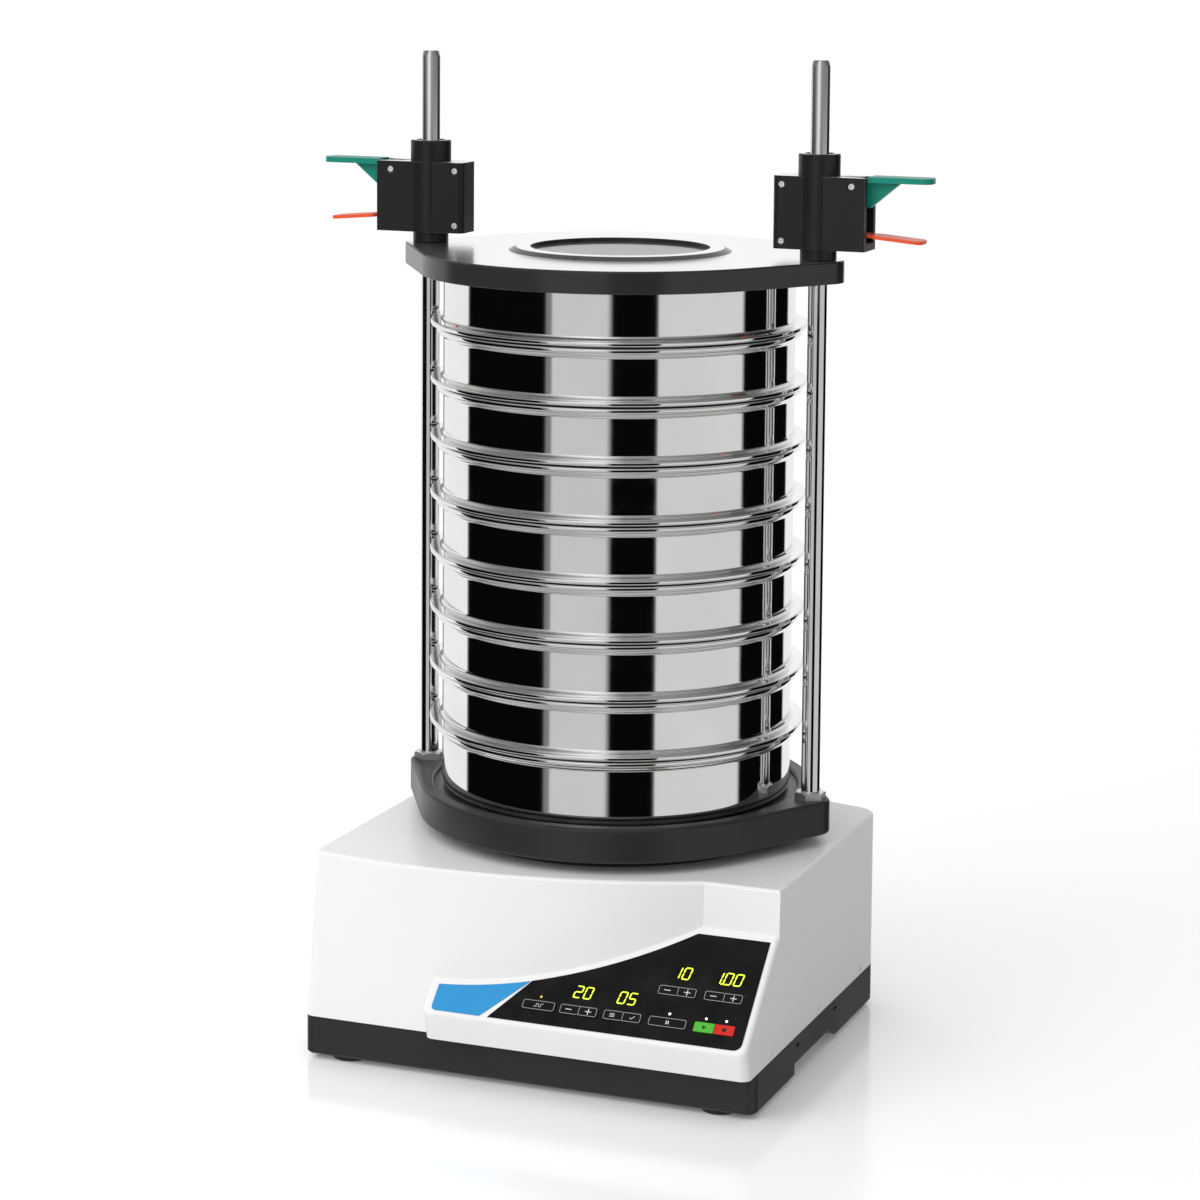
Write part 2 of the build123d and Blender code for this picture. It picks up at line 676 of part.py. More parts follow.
def make_board():
    """Control board behind the console, with the wing that carries the upper displays."""
    left, right, upper, lower = board_span()
    low = -BOARD_DEPTH - BOARD_THICKNESS
    board = console_pad(left, right, upper, lower, low, -BOARD_DEPTH)
    wing_left = DISPLAY_SPANS[2][0] - BOARD_MARGIN
    wing_top = DISPLAY_ROW_HIGH - DISPLAY_HEIGHT / 2 - BOARD_WING_MARGIN
    return board + console_pad(wing_left, right, wing_top, upper + 1.0, low, -BOARD_DEPTH)


def make_displays():
    """Four display modules and four indicator lights, standing on the board."""
    blocks = []
    half = DISPLAY_HEIGHT / 2
    for left, right, row in DISPLAY_SPANS:
        blocks.append(console_pad(left, right, row - half, row + half, -BOARD_DEPTH, FOIL_THICKNESS))
    for x in LIGHT_XS:
        blocks.append(console_peg(x, LIGHT_ROW, LIGHT_RADIUS - LIGHT_FIT, -BOARD_DEPTH, FOIL_THICKNESS))
    return blocks


def make_key(left, right, row):
    """One key: a flat cap with rounded corners on a stem that ends above the board."""
    edge = KEY_GAP / 2
    top, foot = row - KEY_HEIGHT / 2, row + KEY_HEIGHT / 2
    high = FOIL_THICKNESS + KEY_PROUD
    cap = console_pad(left + edge, right - edge, top, foot, high - KEY_CAP, high)
    normal = Vector(0, -SLOPE_FALL, SLOPE_RUN)
    cap = fillet(cap.edges().filter_by(lambda e: abs(e.tangent_at(0.5).dot(normal)) > 0.99), KEY_CORNER)
    stem_foot = -BOARD_DEPTH + KEY_TRAVEL + KEY_STOP_GAP
    return cap + console_peg((left + right) / 2, row, KEY_STEM_RADIUS, stem_foot, high - KEY_CAP)


def tray_plan(inset, z):
    """Outline of the tray at one height, moved inwards by inset."""
    half = HALF_WIDTH - inset
    front = TRAY_FRONT_Y + inset
    shoulder = REAR_Y - REAR_BULGE - inset
    outline = [
        Line((-half, front), (half, front)),
        Line((half, front), (half, shoulder)),
        ThreePointArc((half, shoulder), (0, REAR_Y - inset), (-half, shoulder)),
        Line((-half, shoulder), (-half, front)),
    ]
    plan = make_face(outline)
    rear = plan.vertices().sort_by(Axis.Y)[-2:]
    plan = fillet(rear, max(REAR_CORNER - inset, 1.0))
    front_ends = plan.vertices().sort_by(Axis.Y)[0:2]
    return Pos(0, 0, z) * fillet(front_ends, max(TRAY_CORNER - inset, 1.0))


def tray_block(inset, z0, z1):
    """Upright block with the outline of the tray."""
    return extrude(tray_plan(inset, z0), amount=z1 - z0)


def make_tray():
    """Black tray: floor, walls, upstand inside the housing, finger grips and snap slots."""
    tray = tray_block(0.0, TRAY_LIFT, SEAM_Z)
    tray = chamfer(tray.faces().sort_by(Axis.Z)[0].edges(), TRAY_CHAMFER)
    tray -= tray_block(UPSTAND_INSET + UPSTAND_WALL, FLOOR_Z, SEAM_Z + 1)
    upstand = tray_block(UPSTAND_INSET, SEAM_Z - 1, SEAM_Z + UPSTAND_HEIGHT)
    tray += upstand - tray_block(UPSTAND_INSET + UPSTAND_WALL, SEAM_Z - 2, SEAM_Z + UPSTAND_HEIGHT + 1)
    for side in (-1, 1):
        tray += grip_block(side, GRIP_SKIN, TRAY_LIFT + TRAY_CHAMFER)
        tray -= grip_block(side, 0.0, TRAY_LIFT - 1)
        for i in range(2):
            tray -= snap_slot(side, NOSE_Y + SNAP_SLOT_FROM_NOSE + i * SNAP_SLOT_PITCH)
        for y in SIDE_SCREW_YS:
            tray -= bar(SIDE_SCREW_RADIUS, 4 * UPSTAND_INSET, side * HALF_WIDTH, y, SIDE_SCREW_Z, "x")
    for x, y in foot_places():
        tray -= drum(FOOT_PEG_RADIUS + FOOT_PEG_FIT, TRAY_LIFT - 1, FLOOR_Z + 1, x, y)
    return tray


def grip_block(side, skin, bottom_z):
    """Finger grip under one side, ramped at the rear, grown by a skin."""
    front = NOSE_Y + GRIP_FROM_NOSE - skin
    rear = NOSE_Y + GRIP_FROM_NOSE + GRIP_LENGTH + skin
    roof = TRAY_LIFT + GRIP_HEIGHT + skin
    points = [(front, bottom_z), (front, roof), (rear, roof), (rear + GRIP_RAMP, bottom_z)]
    over = 1.0 if skin == 0 else 0.0
    x0, x1 = sorted((side * (HALF_WIDTH + over), side * (HALF_WIDTH - GRIP_DEPTH - skin)))
    return side_prism(points, x0, x1)


def snap_slot(side, y):
    """Shallow slot in the side of the tray, over a snap."""
    half, reach = SNAP_SLOT_HEIGHT / 2, SNAP_SLOT_LENGTH / 2
    x0, x1 = sorted((side * (HALF_WIDTH - SNAP_SLOT_DEPTH), side * (HALF_WIDTH + 1)))
    return box(x0, x1, y - reach, y + reach, SNAP_SLOT_Z - half, SNAP_SLOT_Z + half)


def foot_places():
    """Places of the four feet."""
    front = NOSE_Y + FOOT_FROM_NOSE
    rear = REAR_Y - FOOT_FROM_REAR
    return [(x, y) for x in (-FOOT_X, FOOT_X) for y in (front, rear)]


def make_feet():
    """Four rubber feet, each a disc with a peg in the tray floor."""
    feet = []
    for x, y in foot_places():
        disc = drum(FOOT_RADIUS, 0, TRAY_LIFT, x, y)
        disc = chamfer(disc.edges().sort_by(Axis.Z)[0], FOOT_CHAMFER)
        feet.append(disc + drum(FOOT_PEG_RADIUS, TRAY_LIFT, FLOOR_Z, x, y))
    return feet


def make_housing_screws():
    """Three screws a side that hold the housing to the tray's upstand."""
    screws = []
    reach = UPSTAND_INSET + UPSTAND_WALL
    for side in (-1, 1):
        for y in SIDE_SCREW_YS:
            head_x = side * (HALF_WIDTH + SIDE_SCREW_HEAD / 2)
            head = bar(SIDE_SCREW_HEAD_RADIUS, SIDE_SCREW_HEAD, head_x, y, SIDE_SCREW_Z, "x")
            shank_x = side * (HALF_WIDTH - reach / 2)
            shank = bar(SIDE_SCREW_RADIUS - SCREW_BITE, reach, shank_x, y, SIDE_SCREW_Z, "x")
            screws.append(head + shank)
    return screws


def ring_places(count, radius, start):
    """Places on a circle about the stack axis."""
    angles = [radians(start + 360 * i / count) for i in range(count)]
    return [(radius * cos(a), AXIS_Y + radius * sin(a)) for a in angles]


def make_buffers():
    """Rubber buffers that carry the counter-mass on the tray floor."""
    return [drum(BUFFER_RADIUS, FLOOR_Z, MASS_Z, x, y) for x, y in ring_places(4, BUFFER_RING, 45)]


def make_mass():
    """Cast counter-mass with the raised seat for the magnet."""
    mass = drum(MASS_RADIUS, MASS_Z, MASS_TOP_Z, y=AXIS_Y)
    mass = chamfer(mass.edges().sort_by(Axis.Z)[-1], MASS_EDGE)
    return mass + drum(MASS_BOSS_RADIUS, MASS_TOP_Z, CORE_Z, y=AXIS_Y)


def make_core():
    """Laminated E-shaped core, open side up."""
    half, deep = CORE_LENGTH / 2, CORE_DEPTH / 2
    core = box(-half, half, AXIS_Y - deep, AXIS_Y + deep, CORE_Z, CORE_TOP_Z)
    window_top = CORE_TOP_Z + 1
    for side in (-1, 1):
        x0, x1 = sorted((side * CORE_LEG / 2, side * (half - CORE_SIDE_LEG)))
        core -= box(x0, x1, AXIS_Y - deep - 1, AXIS_Y + deep + 1, CORE_Z + CORE_YOKE, window_top)
    return core


def make_coil():
    """Coil around the middle leg of the core."""
    reach = COIL_WALL + COIL_GAP
    z0, z1 = CORE_Z + CORE_YOKE, CORE_TOP_Z - COIL_DROP
    half_x, half_y = CORE_LEG / 2 + reach, CORE_DEPTH / 2 + reach
    coil = box(-half_x, half_x, AXIS_Y - half_y, AXIS_Y + half_y, z0, z1)
    coil = fillet(coil.edges().filter_by(Axis.Z), COIL_CORNER)
    half_x, half_y = CORE_LEG / 2 + COIL_GAP, CORE_DEPTH / 2 + COIL_GAP
    return coil - box(-half_x, half_x, AXIS_Y - half_y, AXIS_Y + half_y, z0 - 1, z1 + 1)


def make_armature():
    """Laminated bar under the carrier, above the core."""
    half, deep = CORE_LENGTH / 2, CORE_DEPTH / 2
    return box(-half, half, AXIS_Y - deep, AXIS_Y + deep, ARMATURE_Z, CARRIER_Z)


def make_drive_springs():
    """Waisted rubber-metal springs between the counter-mass and the carrier."""
    springs = []
    middle = (MASS_TOP_Z + CARRIER_Z) / 2
    for x, y in ring_places(SPRING_COUNT, SPRING_RING, 0):
        half = [
            (0, MASS_TOP_Z),
            (SPRING_RADIUS, MASS_TOP_Z),
            (SPRING_RADIUS, MASS_TOP_Z + SPRING_END),
            (SPRING_WAIST, middle),
            (SPRING_RADIUS, CARRIER_Z - SPRING_END),
            (SPRING_RADIUS, CARRIER_Z),
            (0, CARRIER_Z),
        ]
        springs.append(Pos(x, 0, 0) * turned(half, y=y))
    return springs


def make_carrier():
    """Drive carrier: a disc and a hollow column that reaches up to the sieve plate."""
    carrier = drum(CARRIER_RADIUS, CARRIER_Z, CARRIER_Z + CARRIER_HEIGHT, y=AXIS_Y)
    carrier += drum(COLUMN_RADIUS, CARRIER_Z, PLATE_BOTTOM_Z, y=AXIS_Y)
    bore = COLUMN_RADIUS - COLUMN_WALL
    return carrier - drum(bore, CARRIER_Z + CARRIER_HEIGHT, PLATE_BOTTOM_Z + 1, y=AXIS_Y)


def make_boot():
    """Folded rubber boot that closes the gap between housing and sieve plate."""
    z0, z1 = TOP_Z, PLATE_BOTTOM_Z - SEAT_GAP
    middle = (z0 + z1) / 2
    r = BOOT_RADIUS
    points = [
        (r, z0),
        (r + BOOT_FOLD, middle),
        (r, z1),
        (r - BOOT_WALL, z1),
        (r - BOOT_WALL + BOOT_FOLD, middle),
        (r - BOOT_WALL, z0),
    ]
    return turned(points)


def eared_plate(radius, ear_radius, z0, z1):
    """Disc whose two ears run out to the rods along common tangents."""
    lean = (radius - ear_radius) / ROD_X
    across = sqrt(1 - lean**2)
    face = Pos(0, AXIS_Y) * Circle(radius)
    for side in (-1, 1):
        face += Pos(side * ROD_X, AXIS_Y) * Circle(ear_radius)
        corners = []
        for end in (-1, 1):
            corners.append((side * radius * lean, AXIS_Y + end * radius * across))
            corners.append((side * (ROD_X + ear_radius * lean), AXIS_Y + end * ear_radius * across))
        order = [corners[0], corners[1], corners[3], corners[2]]
        face += make_face(Polyline(*order, close=True))
    return extrude(Pos(0, 0, z0) * face, amount=z1 - z0)


def rod_holes(radius, z0, z1):
    """Two drums on the rod axes."""
    return drum(radius, z0, z1, -ROD_X, AXIS_Y) + drum(radius, z0, z1, ROD_X, AXIS_Y)


def make_plate():
    """Sieve plate: eared casting with a round recess for the pan."""
    plate = eared_plate(PLATE_RADIUS, PLATE_EAR_RADIUS, PLATE_BOTTOM_Z, PLATE_TOP_Z)
    plate = chamfer(plate.faces().sort_by(Axis.Z)[-1].edges(), PLATE_EDGE / 2)
    plate = chamfer(plate.faces().sort_by(Axis.Z)[0].edges(), PLATE_EDGE / 2)
    recess = [
        (0, RECESS_Z),
        (RECESS_RADIUS, RECESS_Z),
        (RECESS_RADIUS, PLATE_TOP_Z - RECESS_CHAMFER),
        (RECESS_RADIUS + RECESS_CHAMFER, PLATE_TOP_Z),
        (RECESS_RADIUS + RECESS_CHAMFER, PLATE_TOP_Z + 1),
        (0, PLATE_TOP_Z + 1),
    ]
    return plate - turned(recess) - rod_holes(ROD_RADIUS + ROD_FIT, PLATE_BOTTOM_Z - 1, PLATE_TOP_Z + 1)


def make_rods():
    """Two polished rods with chamfered tops."""
    rods = []
    for side in (-1, 1):
        rod = drum(ROD_RADIUS, PLATE_BOTTOM_Z, ROD_TOP_Z, side * ROD_X, AXIS_Y)
        rods.append(chamfer(rod.edges().sort_by(Axis.Z)[-1], ROD_CHAMFER))
    return rods


def make_nuts():
    """Hexagon nuts that lock the rods on the plate."""
    nuts = []
    hexagon = RegularPolygon(NUT_ACROSS_FLATS / 2, 6, major_radius=False)
    bores = rod_holes(ROD_RADIUS + ROD_FIT, PLATE_TOP_Z - 1, PLATE_TOP_Z + 2 * NUT_HEIGHT)
    for side in (-1, 1):
        nut = extrude(Pos(side * ROD_X, AXIS_Y, PLATE_TOP_Z) * hexagon, amount=NUT_HEIGHT)
        nuts.append(nut - bores)
    return nuts


def rim_points(joint_z):
    """Rolled rim at the top of a sieve or pan, from inside to outside."""
    return [
        (SIEVE_RADIUS - SIEVE_WALL, joint_z),
        (RIM_RADIUS - RIM_BEVEL, joint_z),
        (RIM_RADIUS, joint_z - RIM_BEVEL),
        (RIM_RADIUS - RIM_CONE, joint_z - RIM_HEIGHT / 2),
        (RIM_RADIUS - RIM_CONE, joint_z - RIM_HEIGHT + RIM_BEVEL),
        (SIEVE_RADIUS, joint_z - RIM_HEIGHT),
    ]


def make_pan():
    """Collecting pan: rolled rim, straight wall and rounded floor corner."""
    inner = SIEVE_RADIUS - SIEVE_WALL
    bend = 0.3 * PAN_CORNER
    points = rim_points(PAN_JOINT_Z) + [
        (SIEVE_RADIUS, PAN_BOTTOM_Z + PAN_CORNER),
        (SIEVE_RADIUS - bend, PAN_BOTTOM_Z + bend),
        (SIEVE_RADIUS - PAN_CORNER, PAN_BOTTOM_Z),
        (0, PAN_BOTTOM_Z),
        (0, PAN_BOTTOM_Z + SIEVE_WALL),
        (inner - PAN_CORNER, PAN_BOTTOM_Z + SIEVE_WALL),
        (inner, PAN_BOTTOM_Z + PAN_CORNER + SIEVE_WALL),
    ]
    return turned(points)


def make_sieve(joint_z):
    """One sieve on the joint at joint_z: frame, mesh disc and seal."""
    inner = SIEVE_RADIUS - SIEVE_WALL
    skirt = inner - SKIRT_GAP
    flange_z = joint_z + JOINT_GAP
    mesh_z = flange_z + MESH_SEAT
    frame = rim_points(joint_z + SIEVE_PITCH) + [
        (SIEVE_RADIUS, flange_z + FLANGE_HEIGHT + COVE_HEIGHT),
        (SIEVE_RADIUS + COVE_REACH, flange_z + FLANGE_HEIGHT + COVE_HEIGHT / 3),
        (FLANGE_RADIUS - FLANGE_BEVEL, flange_z + FLANGE_HEIGHT),
        (FLANGE_RADIUS, flange_z + FLANGE_HEIGHT - FLANGE_BEVEL),
        (FLANGE_RADIUS - FLANGE_BEVEL, flange_z),
        (skirt, flange_z),
        (skirt - SKIRT_TAPER, joint_z - SKIRT_DEPTH),
        (skirt - SKIRT_TAPER - SIEVE_WALL, joint_z - SKIRT_DEPTH),
        (skirt - SIEVE_WALL, mesh_z + MESH_THICKNESS),
        (inner, mesh_z + 2 * MESH_THICKNESS),
    ]
    mesh = drum(skirt - SIEVE_WALL, mesh_z, mesh_z + MESH_THICKNESS, y=AXIS_Y)
    seal_in, seal_out = SEAL_RADIUS - SEAL_WIDTH / 2, SEAL_RADIUS + SEAL_WIDTH / 2
    low = joint_z + SEAT_GAP
    seal = [(seal_in, low), (seal_out, low), (seal_out, flange_z), (seal_in, flange_z)]
    return turned(frame), mesh, turned(seal)


def make_cover():
    """Cover plate: eared disc, raised ring, window seat and a recess over the top sieve."""
    cover = eared_plate(COVER_RADIUS, COVER_EAR_RADIUS, COVER_BOTTOM_Z, COVER_TOP_Z)
    cover = chamfer(cover.faces().sort_by(Axis.Z)[-1].edges(), COVER_EDGE)
    ring_top = COVER_TOP_Z + COVER_RING_HEIGHT
    ring = [
        (0, COVER_TOP_Z - 1),
        (COVER_RING_FOOT, COVER_TOP_Z - 1),
        (COVER_RING_FOOT, COVER_TOP_Z),
        (COVER_RING_TOP, ring_top),
        (0, ring_top),
    ]
    cover += turned(ring)
    seat_z = ring_top - WINDOW_DEPTH
    hole = [
        (0, COVER_BOTTOM_Z - 1),
        (WINDOW_RADIUS + WINDOW_SHOULDER, COVER_BOTTOM_Z - 1),
        (WINDOW_RADIUS + WINDOW_SHOULDER, seat_z),
        (WINDOW_RADIUS, seat_z),
        (WINDOW_RADIUS, ring_top + 1),
        (0, ring_top + 1),
    ]
    recess_radius = RIM_RADIUS + COVER_RECESS_GAP
    recess = drum(recess_radius, COVER_BOTTOM_Z - 1, COVER_JOINT_Z + SEAT_GAP, y=AXIS_Y)
    holes = rod_holes(ROD_RADIUS + COVER_BORE_GAP, COVER_BOTTOM_Z - 1, COVER_TOP_Z + 1)
    return cover - turned(hole) - recess - holes


def make_window():
    """Disc that closes the hole in the cover from below."""
    top = COVER_TOP_Z + COVER_RING_HEIGHT - WINDOW_DEPTH
    return drum(WINDOW_RADIUS + WINDOW_SHOULDER - WINDOW_FIT, top - WINDOW_THICKNESS, top, y=AXIS_Y)


class Clamp:
    """One rod clamp. side is -1 for the left rod and 1 for the right one."""

    def __init__(self, side):
        self.side = side
        self.rod_x = side * ROD_X

    def x(self, out):
        """World X of a place given by its distance out from the rod."""
        return self.rod_x + self.side * out

    def block(self, out0, out1, half_depth, z0, z1):
        """Block centred on the rod's plane."""
        x0, x1 = sorted((self.x(out0), self.x(out1)))
        return box(x0, x1, AXIS_Y - half_depth, AXIS_Y + half_depth, z0, z1)

    def profile(self, points, half_depth):
        """Prism along Y from (out, z) points, centred on the rod's plane."""
        y = AXIS_Y - half_depth
        outline = make_face(Polyline(*[(self.x(o), y, z) for o, z in points], close=True))
        return extrude(outline, amount=2 * half_depth, dir=(0, 1, 0))

    def rod_drum(self, radius, z0, z1):
        """Drum on the rod's axis."""
        return drum(radius, z0, z1, self.rod_x, AXIS_Y)

    def cross(self, radius, length, out, z, y=AXIS_Y):
        """Round bar along Y."""
        return bar(radius, length, self.x(out), y, z, "y")

    def screw_places(self):
        """Places of the three screws in the front face."""
        high, low = CLAMP_TOP_Z - CLAMP_SCREW_EDGE, CLAMP_Z + CLAMP_SCREW_EDGE - 1.0
        return [(-CLAMP_SCREW_IN, high), (-CLAMP_SCREW_IN, low), (CLAMP_SCREW_OUT, high)]

    def pivot_z(self):
        return CLAMP_TOP_Z - LEVER_PIVOT_DROP

    def housing(self):
        """Two half shells, split on the rod's plane."""
        half = CLAMP_DEPTH / 2
        block = self.block(-CLAMP_IN, CLAMP_OUT, half, CLAMP_Z, CLAMP_TOP_Z)
        inner_x = self.x(-CLAMP_IN)
        uprights = block.edges().filter_by(Axis.Z)
        block = fillet(uprights.filter_by(lambda e: abs(e.center().X - inner_x) < 0.1), CLAMP_CORNER)
        block += self.rod_drum(BULGE_RADIUS, CLAMP_Z, CLAMP_TOP_Z)
        low, high = CLAMP_Z + CLAMP_WALL, CLAMP_TOP_Z - CLAMP_WALL
        block -= self.block(-CAVITY_IN, CLAMP_OUT + 1, CAVITY_HALF_DEPTH, low, high)
        mouth = CLAMP_OUT - SLOT_TOP_DEPTH
        block -= self.block(mouth, CLAMP_OUT + 1, CAVITY_HALF_DEPTH, high - 1, CLAMP_TOP_Z + 1)
        shelf_z = self.shelf_z()
        into_wall = CAVITY_HALF_DEPTH + 1
        block += self.block(SHELF_IN, SHELF_OUT, into_wall, shelf_z, shelf_z + LEDGE)
        ledge_top = self.jam_z() - SEAT_GAP
        block += self.block(-CAVITY_IN - 1, -CAVITY_IN + LEDGE, into_wall, ledge_top - LEDGE, ledge_top)
        block -= self.rod_drum(BUSH_SPIGOT_RADIUS + BUSH_FIT, CLAMP_Z - 1, CLAMP_TOP_Z + 1)
        block -= self.cross(LEVER_PIN_RADIUS + PIN_FIT, self.pin_length(), LEVER_PIVOT_OUT, self.pivot_z())
        front_y = AXIS_Y - half
        sink_radius = CLAMP_SCREW_HEAD_RADIUS + CLAMP_SCREW_GAP
        for out, z in self.screw_places():
            shank_y = front_y + self.screw_length() / 2
            block -= self.cross(CLAMP_SCREW_RADIUS + PIN_FIT, self.screw_length(), out, z, shank_y)
            block -= self.cross(sink_radius, 2 * CLAMP_SCREW_SINK, out, z, front_y)
        halves = block.split(Plane.XZ.offset(-AXIS_Y), keep=Keep.BOTH)
        return sorted(halves, key=lambda piece: piece.center().Y)

    def pin_length(self):
        """Length of the lever's pin, let into both walls."""
        return 2 * CAVITY_HALF_DEPTH + PIN_BITE

    def screw_length(self):
        """Depth of a screw's tip below the front face."""
        return CLAMP_DEPTH - CLAMP_SCREW_BACK

    def bushes(self):
        """Upper collar and lower foot sleeve, each with a spigot in the housing."""
        bore = self.rod_drum(ROD_RADIUS + ROD_FIT, COVER_TOP_Z - 1, CLAMP_TOP_Z + 2 * COLLAR_HEIGHT)
        top = CLAMP_TOP_Z + COLLAR_HEIGHT
        collar = self.rod_drum(COLLAR_RADIUS, CLAMP_TOP_Z, top)
        collar = chamfer(collar.edges().sort_by(Axis.Z)[-1], COLLAR_EDGE)
        collar -= self.rod_drum(COLLAR_MOUTH_RADIUS, top - COLLAR_MOUTH, top + 1)
        collar += self.rod_drum(BUSH_SPIGOT_RADIUS, CLAMP_TOP_Z - CLAMP_WALL, CLAMP_TOP_Z + 1)
        foot = self.rod_drum(FOOT_SLEEVE_RADIUS, COVER_TOP_Z + SEAT_GAP, CLAMP_Z)
        foot += self.rod_drum(BUSH_SPIGOT_RADIUS, CLAMP_Z - 1, CLAMP_Z + CLAMP_WALL)
        return collar - bore, foot - bore

    def fasteners(self):
        """Three socket-head screws and the lever's pivot pin."""
        pieces = []
        front_y = AXIS_Y - CLAMP_DEPTH / 2
        head_y = front_y + CLAMP_SCREW_SINK - CLAMP_SCREW_HEAD / 2
        shank = self.screw_length() - CLAMP_SCREW_SINK
        for out, z in self.screw_places():
            head = self.cross(CLAMP_SCREW_HEAD_RADIUS, CLAMP_SCREW_HEAD, out, z, head_y)
            head -= self.cross(SOCKET_RADIUS, CLAMP_SCREW_HEAD, out, z, head_y - CLAMP_SCREW_HEAD / 2)
            shank_y = front_y + CLAMP_SCREW_SINK + shank / 2
            pieces.append(head + self.cross(CLAMP_SCREW_RADIUS, shank, out, z, shank_y))
        pieces.append(self.cross(LEVER_PIN_RADIUS, self.pin_length(), LEVER_PIVOT_OUT, self.pivot_z()))
        return pieces

    def squeeze_lever(self):
        """Thumb pad, triangular web, pivot boss and the nose under the jam plate."""
        pad_top = CLAMP_TOP_Z + LEVER_PAD_RISE
        pad_low = pad_top - LEVER_PAD_THICKNESS
        start = CLAMP_OUT + LEVER_PAD_GAP
        pad = self.block(start, LEVER_PAD_TIP, LEVER_PAD_WIDTH / 2, pad_low, pad_top)
        tip_x = self.x(LEVER_PAD_TIP)
        ends = pad.edges().filter_by(Axis.Z).filter_by(lambda e: abs(e.center().X - tip_x) < 0.1)
        pad = fillet(ends, LEVER_PAD_WIDTH / 3)
        pivot_z = self.pivot_z()
        web = [
            (LEVER_WEB_TIP, pad_low + 0.5),
            (start + 2.0, pad_top - 0.5),
            (start, pad_low),
            (LEVER_PIVOT_OUT, pivot_z + LEVER_BOSS_RADIUS),
            (LEVER_PIVOT_OUT, pivot_z - LEVER_BOSS_RADIUS),
            (start, pad_top - LEVER_WEB_DROP),
        ]
        lever = pad + self.profile(web, LEVER_WEB_WIDTH / 2)
        lever += self.cross(LEVER_BOSS_RADIUS, LEVER_WEB_WIDTH, LEVER_PIVOT_OUT, pivot_z)
        nose_out = LEVER_PIVOT_OUT - LEVER_NOSE
        nose_top = self.jam_z() - SEAT_GAP
        nose = [
            (LEVER_PIVOT_OUT, nose_top),
            (nose_out, nose_top),
            (nose_out - LEVER_NOSE_TIP, nose_top - LEVER_NOSE_TIP),
            (nose_out - LEVER_NOSE_TIP, nose_top - 2 * LEVER_NOSE_TIP),
            (LEVER_PIVOT_OUT, pivot_z - LEVER_BOSS_RADIUS),
        ]
        lever += self.profile(nose, LEVER_NOSE_WIDTH / 2)
        return lever - self.cross(LEVER_PIN_RADIUS + PIN_FIT, 2 * LEVER_WEB_WIDTH, LEVER_PIVOT_OUT, pivot_z)

    def jam_z(self):
        """Underside of the jam plate."""
        return self.pivot_z() - LEVER_BOSS_RADIUS + JAM_RISE

    def shelf_z(self):
        """Underside of the shelf above the release plate."""
        return self.jam_z() - SHELF_DROP

    def jam_plate(self):
        """Steel plate that grips the rod when the lever's nose lifts its outer end."""
        low, high = self.jam_z(), self.jam_z() + JAM_THICKNESS
        plate = self.block(-PLATE_END, JAM_OUT, CAVITY_HALF_DEPTH - PLATE_SIDE_GAP, low, high)
        return plate - self.rod_drum(ROD_RADIUS + JAM_HOLE_GAP, low - 1, high + 1)

    def release_z(self):
        """Height of the release plate's middle at its pivot."""
        return CLAMP_Z + RELEASE_Z

    def release_lever(self):
        """Thin coloured plate around the rod; its outer end is the release tab."""
        z = self.release_z()
        low, high = z - RELEASE_THICKNESS / 2, z + RELEASE_THICKNESS / 2
        pad = self.block(RELEASE_PAD_START, RELEASE_TIP, RELEASE_PAD_WIDTH / 2, low, high)
        pad = fillet(pad.edges().filter_by(Axis.Z), RELEASE_PAD_WIDTH / 4)
        plate = self.block(-PLATE_END, JAM_OUT, CAVITY_HALF_DEPTH - PLATE_SIDE_GAP, low, high)
        plate += self.block(0.0, RELEASE_PAD_START + 1, RELEASE_NECK_WIDTH / 2, low, high)
        plate += pad
        plate -= self.rod_drum(ROD_RADIUS + JAM_HOLE_GAP, low - 1, high + 1)
        pivot = Axis((self.x(-PLATE_END), AXIS_Y, z), (0, self.side, 0))
        return plate.rotate(pivot, RELEASE_TILT)

    def bent_strip(self, out, z0, z1):
        """Folded strip spring between two heights."""
        t = CLAMP_SPRING_STRIP
        reach = CLAMP_SPRING_REACH
        middle = (z0 + z1) / 2
        points = [
            (out, z0),
            (out + reach, z0),
            (out + reach, z0 + t),
            (out + 2 * t, z0 + t),
            (out + reach, middle),
            (out + 2 * t, z1 - t),
            (out + reach, z1 - t),
            (out + reach, z1),
            (out, z1),
            (out, z1 - t),
            (out + reach - 2 * t, middle),
            (out, z0 + t),
        ]
        return self.profile(points, CLAMP_SPRING_WIDTH / 2)

    def jam_spring(self):
        """Strip spring above the jam plate."""
        z0 = self.jam_z() + JAM_THICKNESS + SEAT_GAP
        return self.bent_strip(CLAMP_SPRING_OUT, z0, CLAMP_TOP_Z - CLAMP_WALL)

    def release_spring(self):
        """Strip spring that holds the release plate down."""
        fall = (CLAMP_SPRING_OUT + PLATE_END) * tan(radians(RELEASE_TILT))
        z0 = self.release_z() + RELEASE_THICKNESS / 2 - fall + SEAT_GAP
        return self.bent_strip(CLAMP_SPRING_OUT, z0, self.shelf_z())


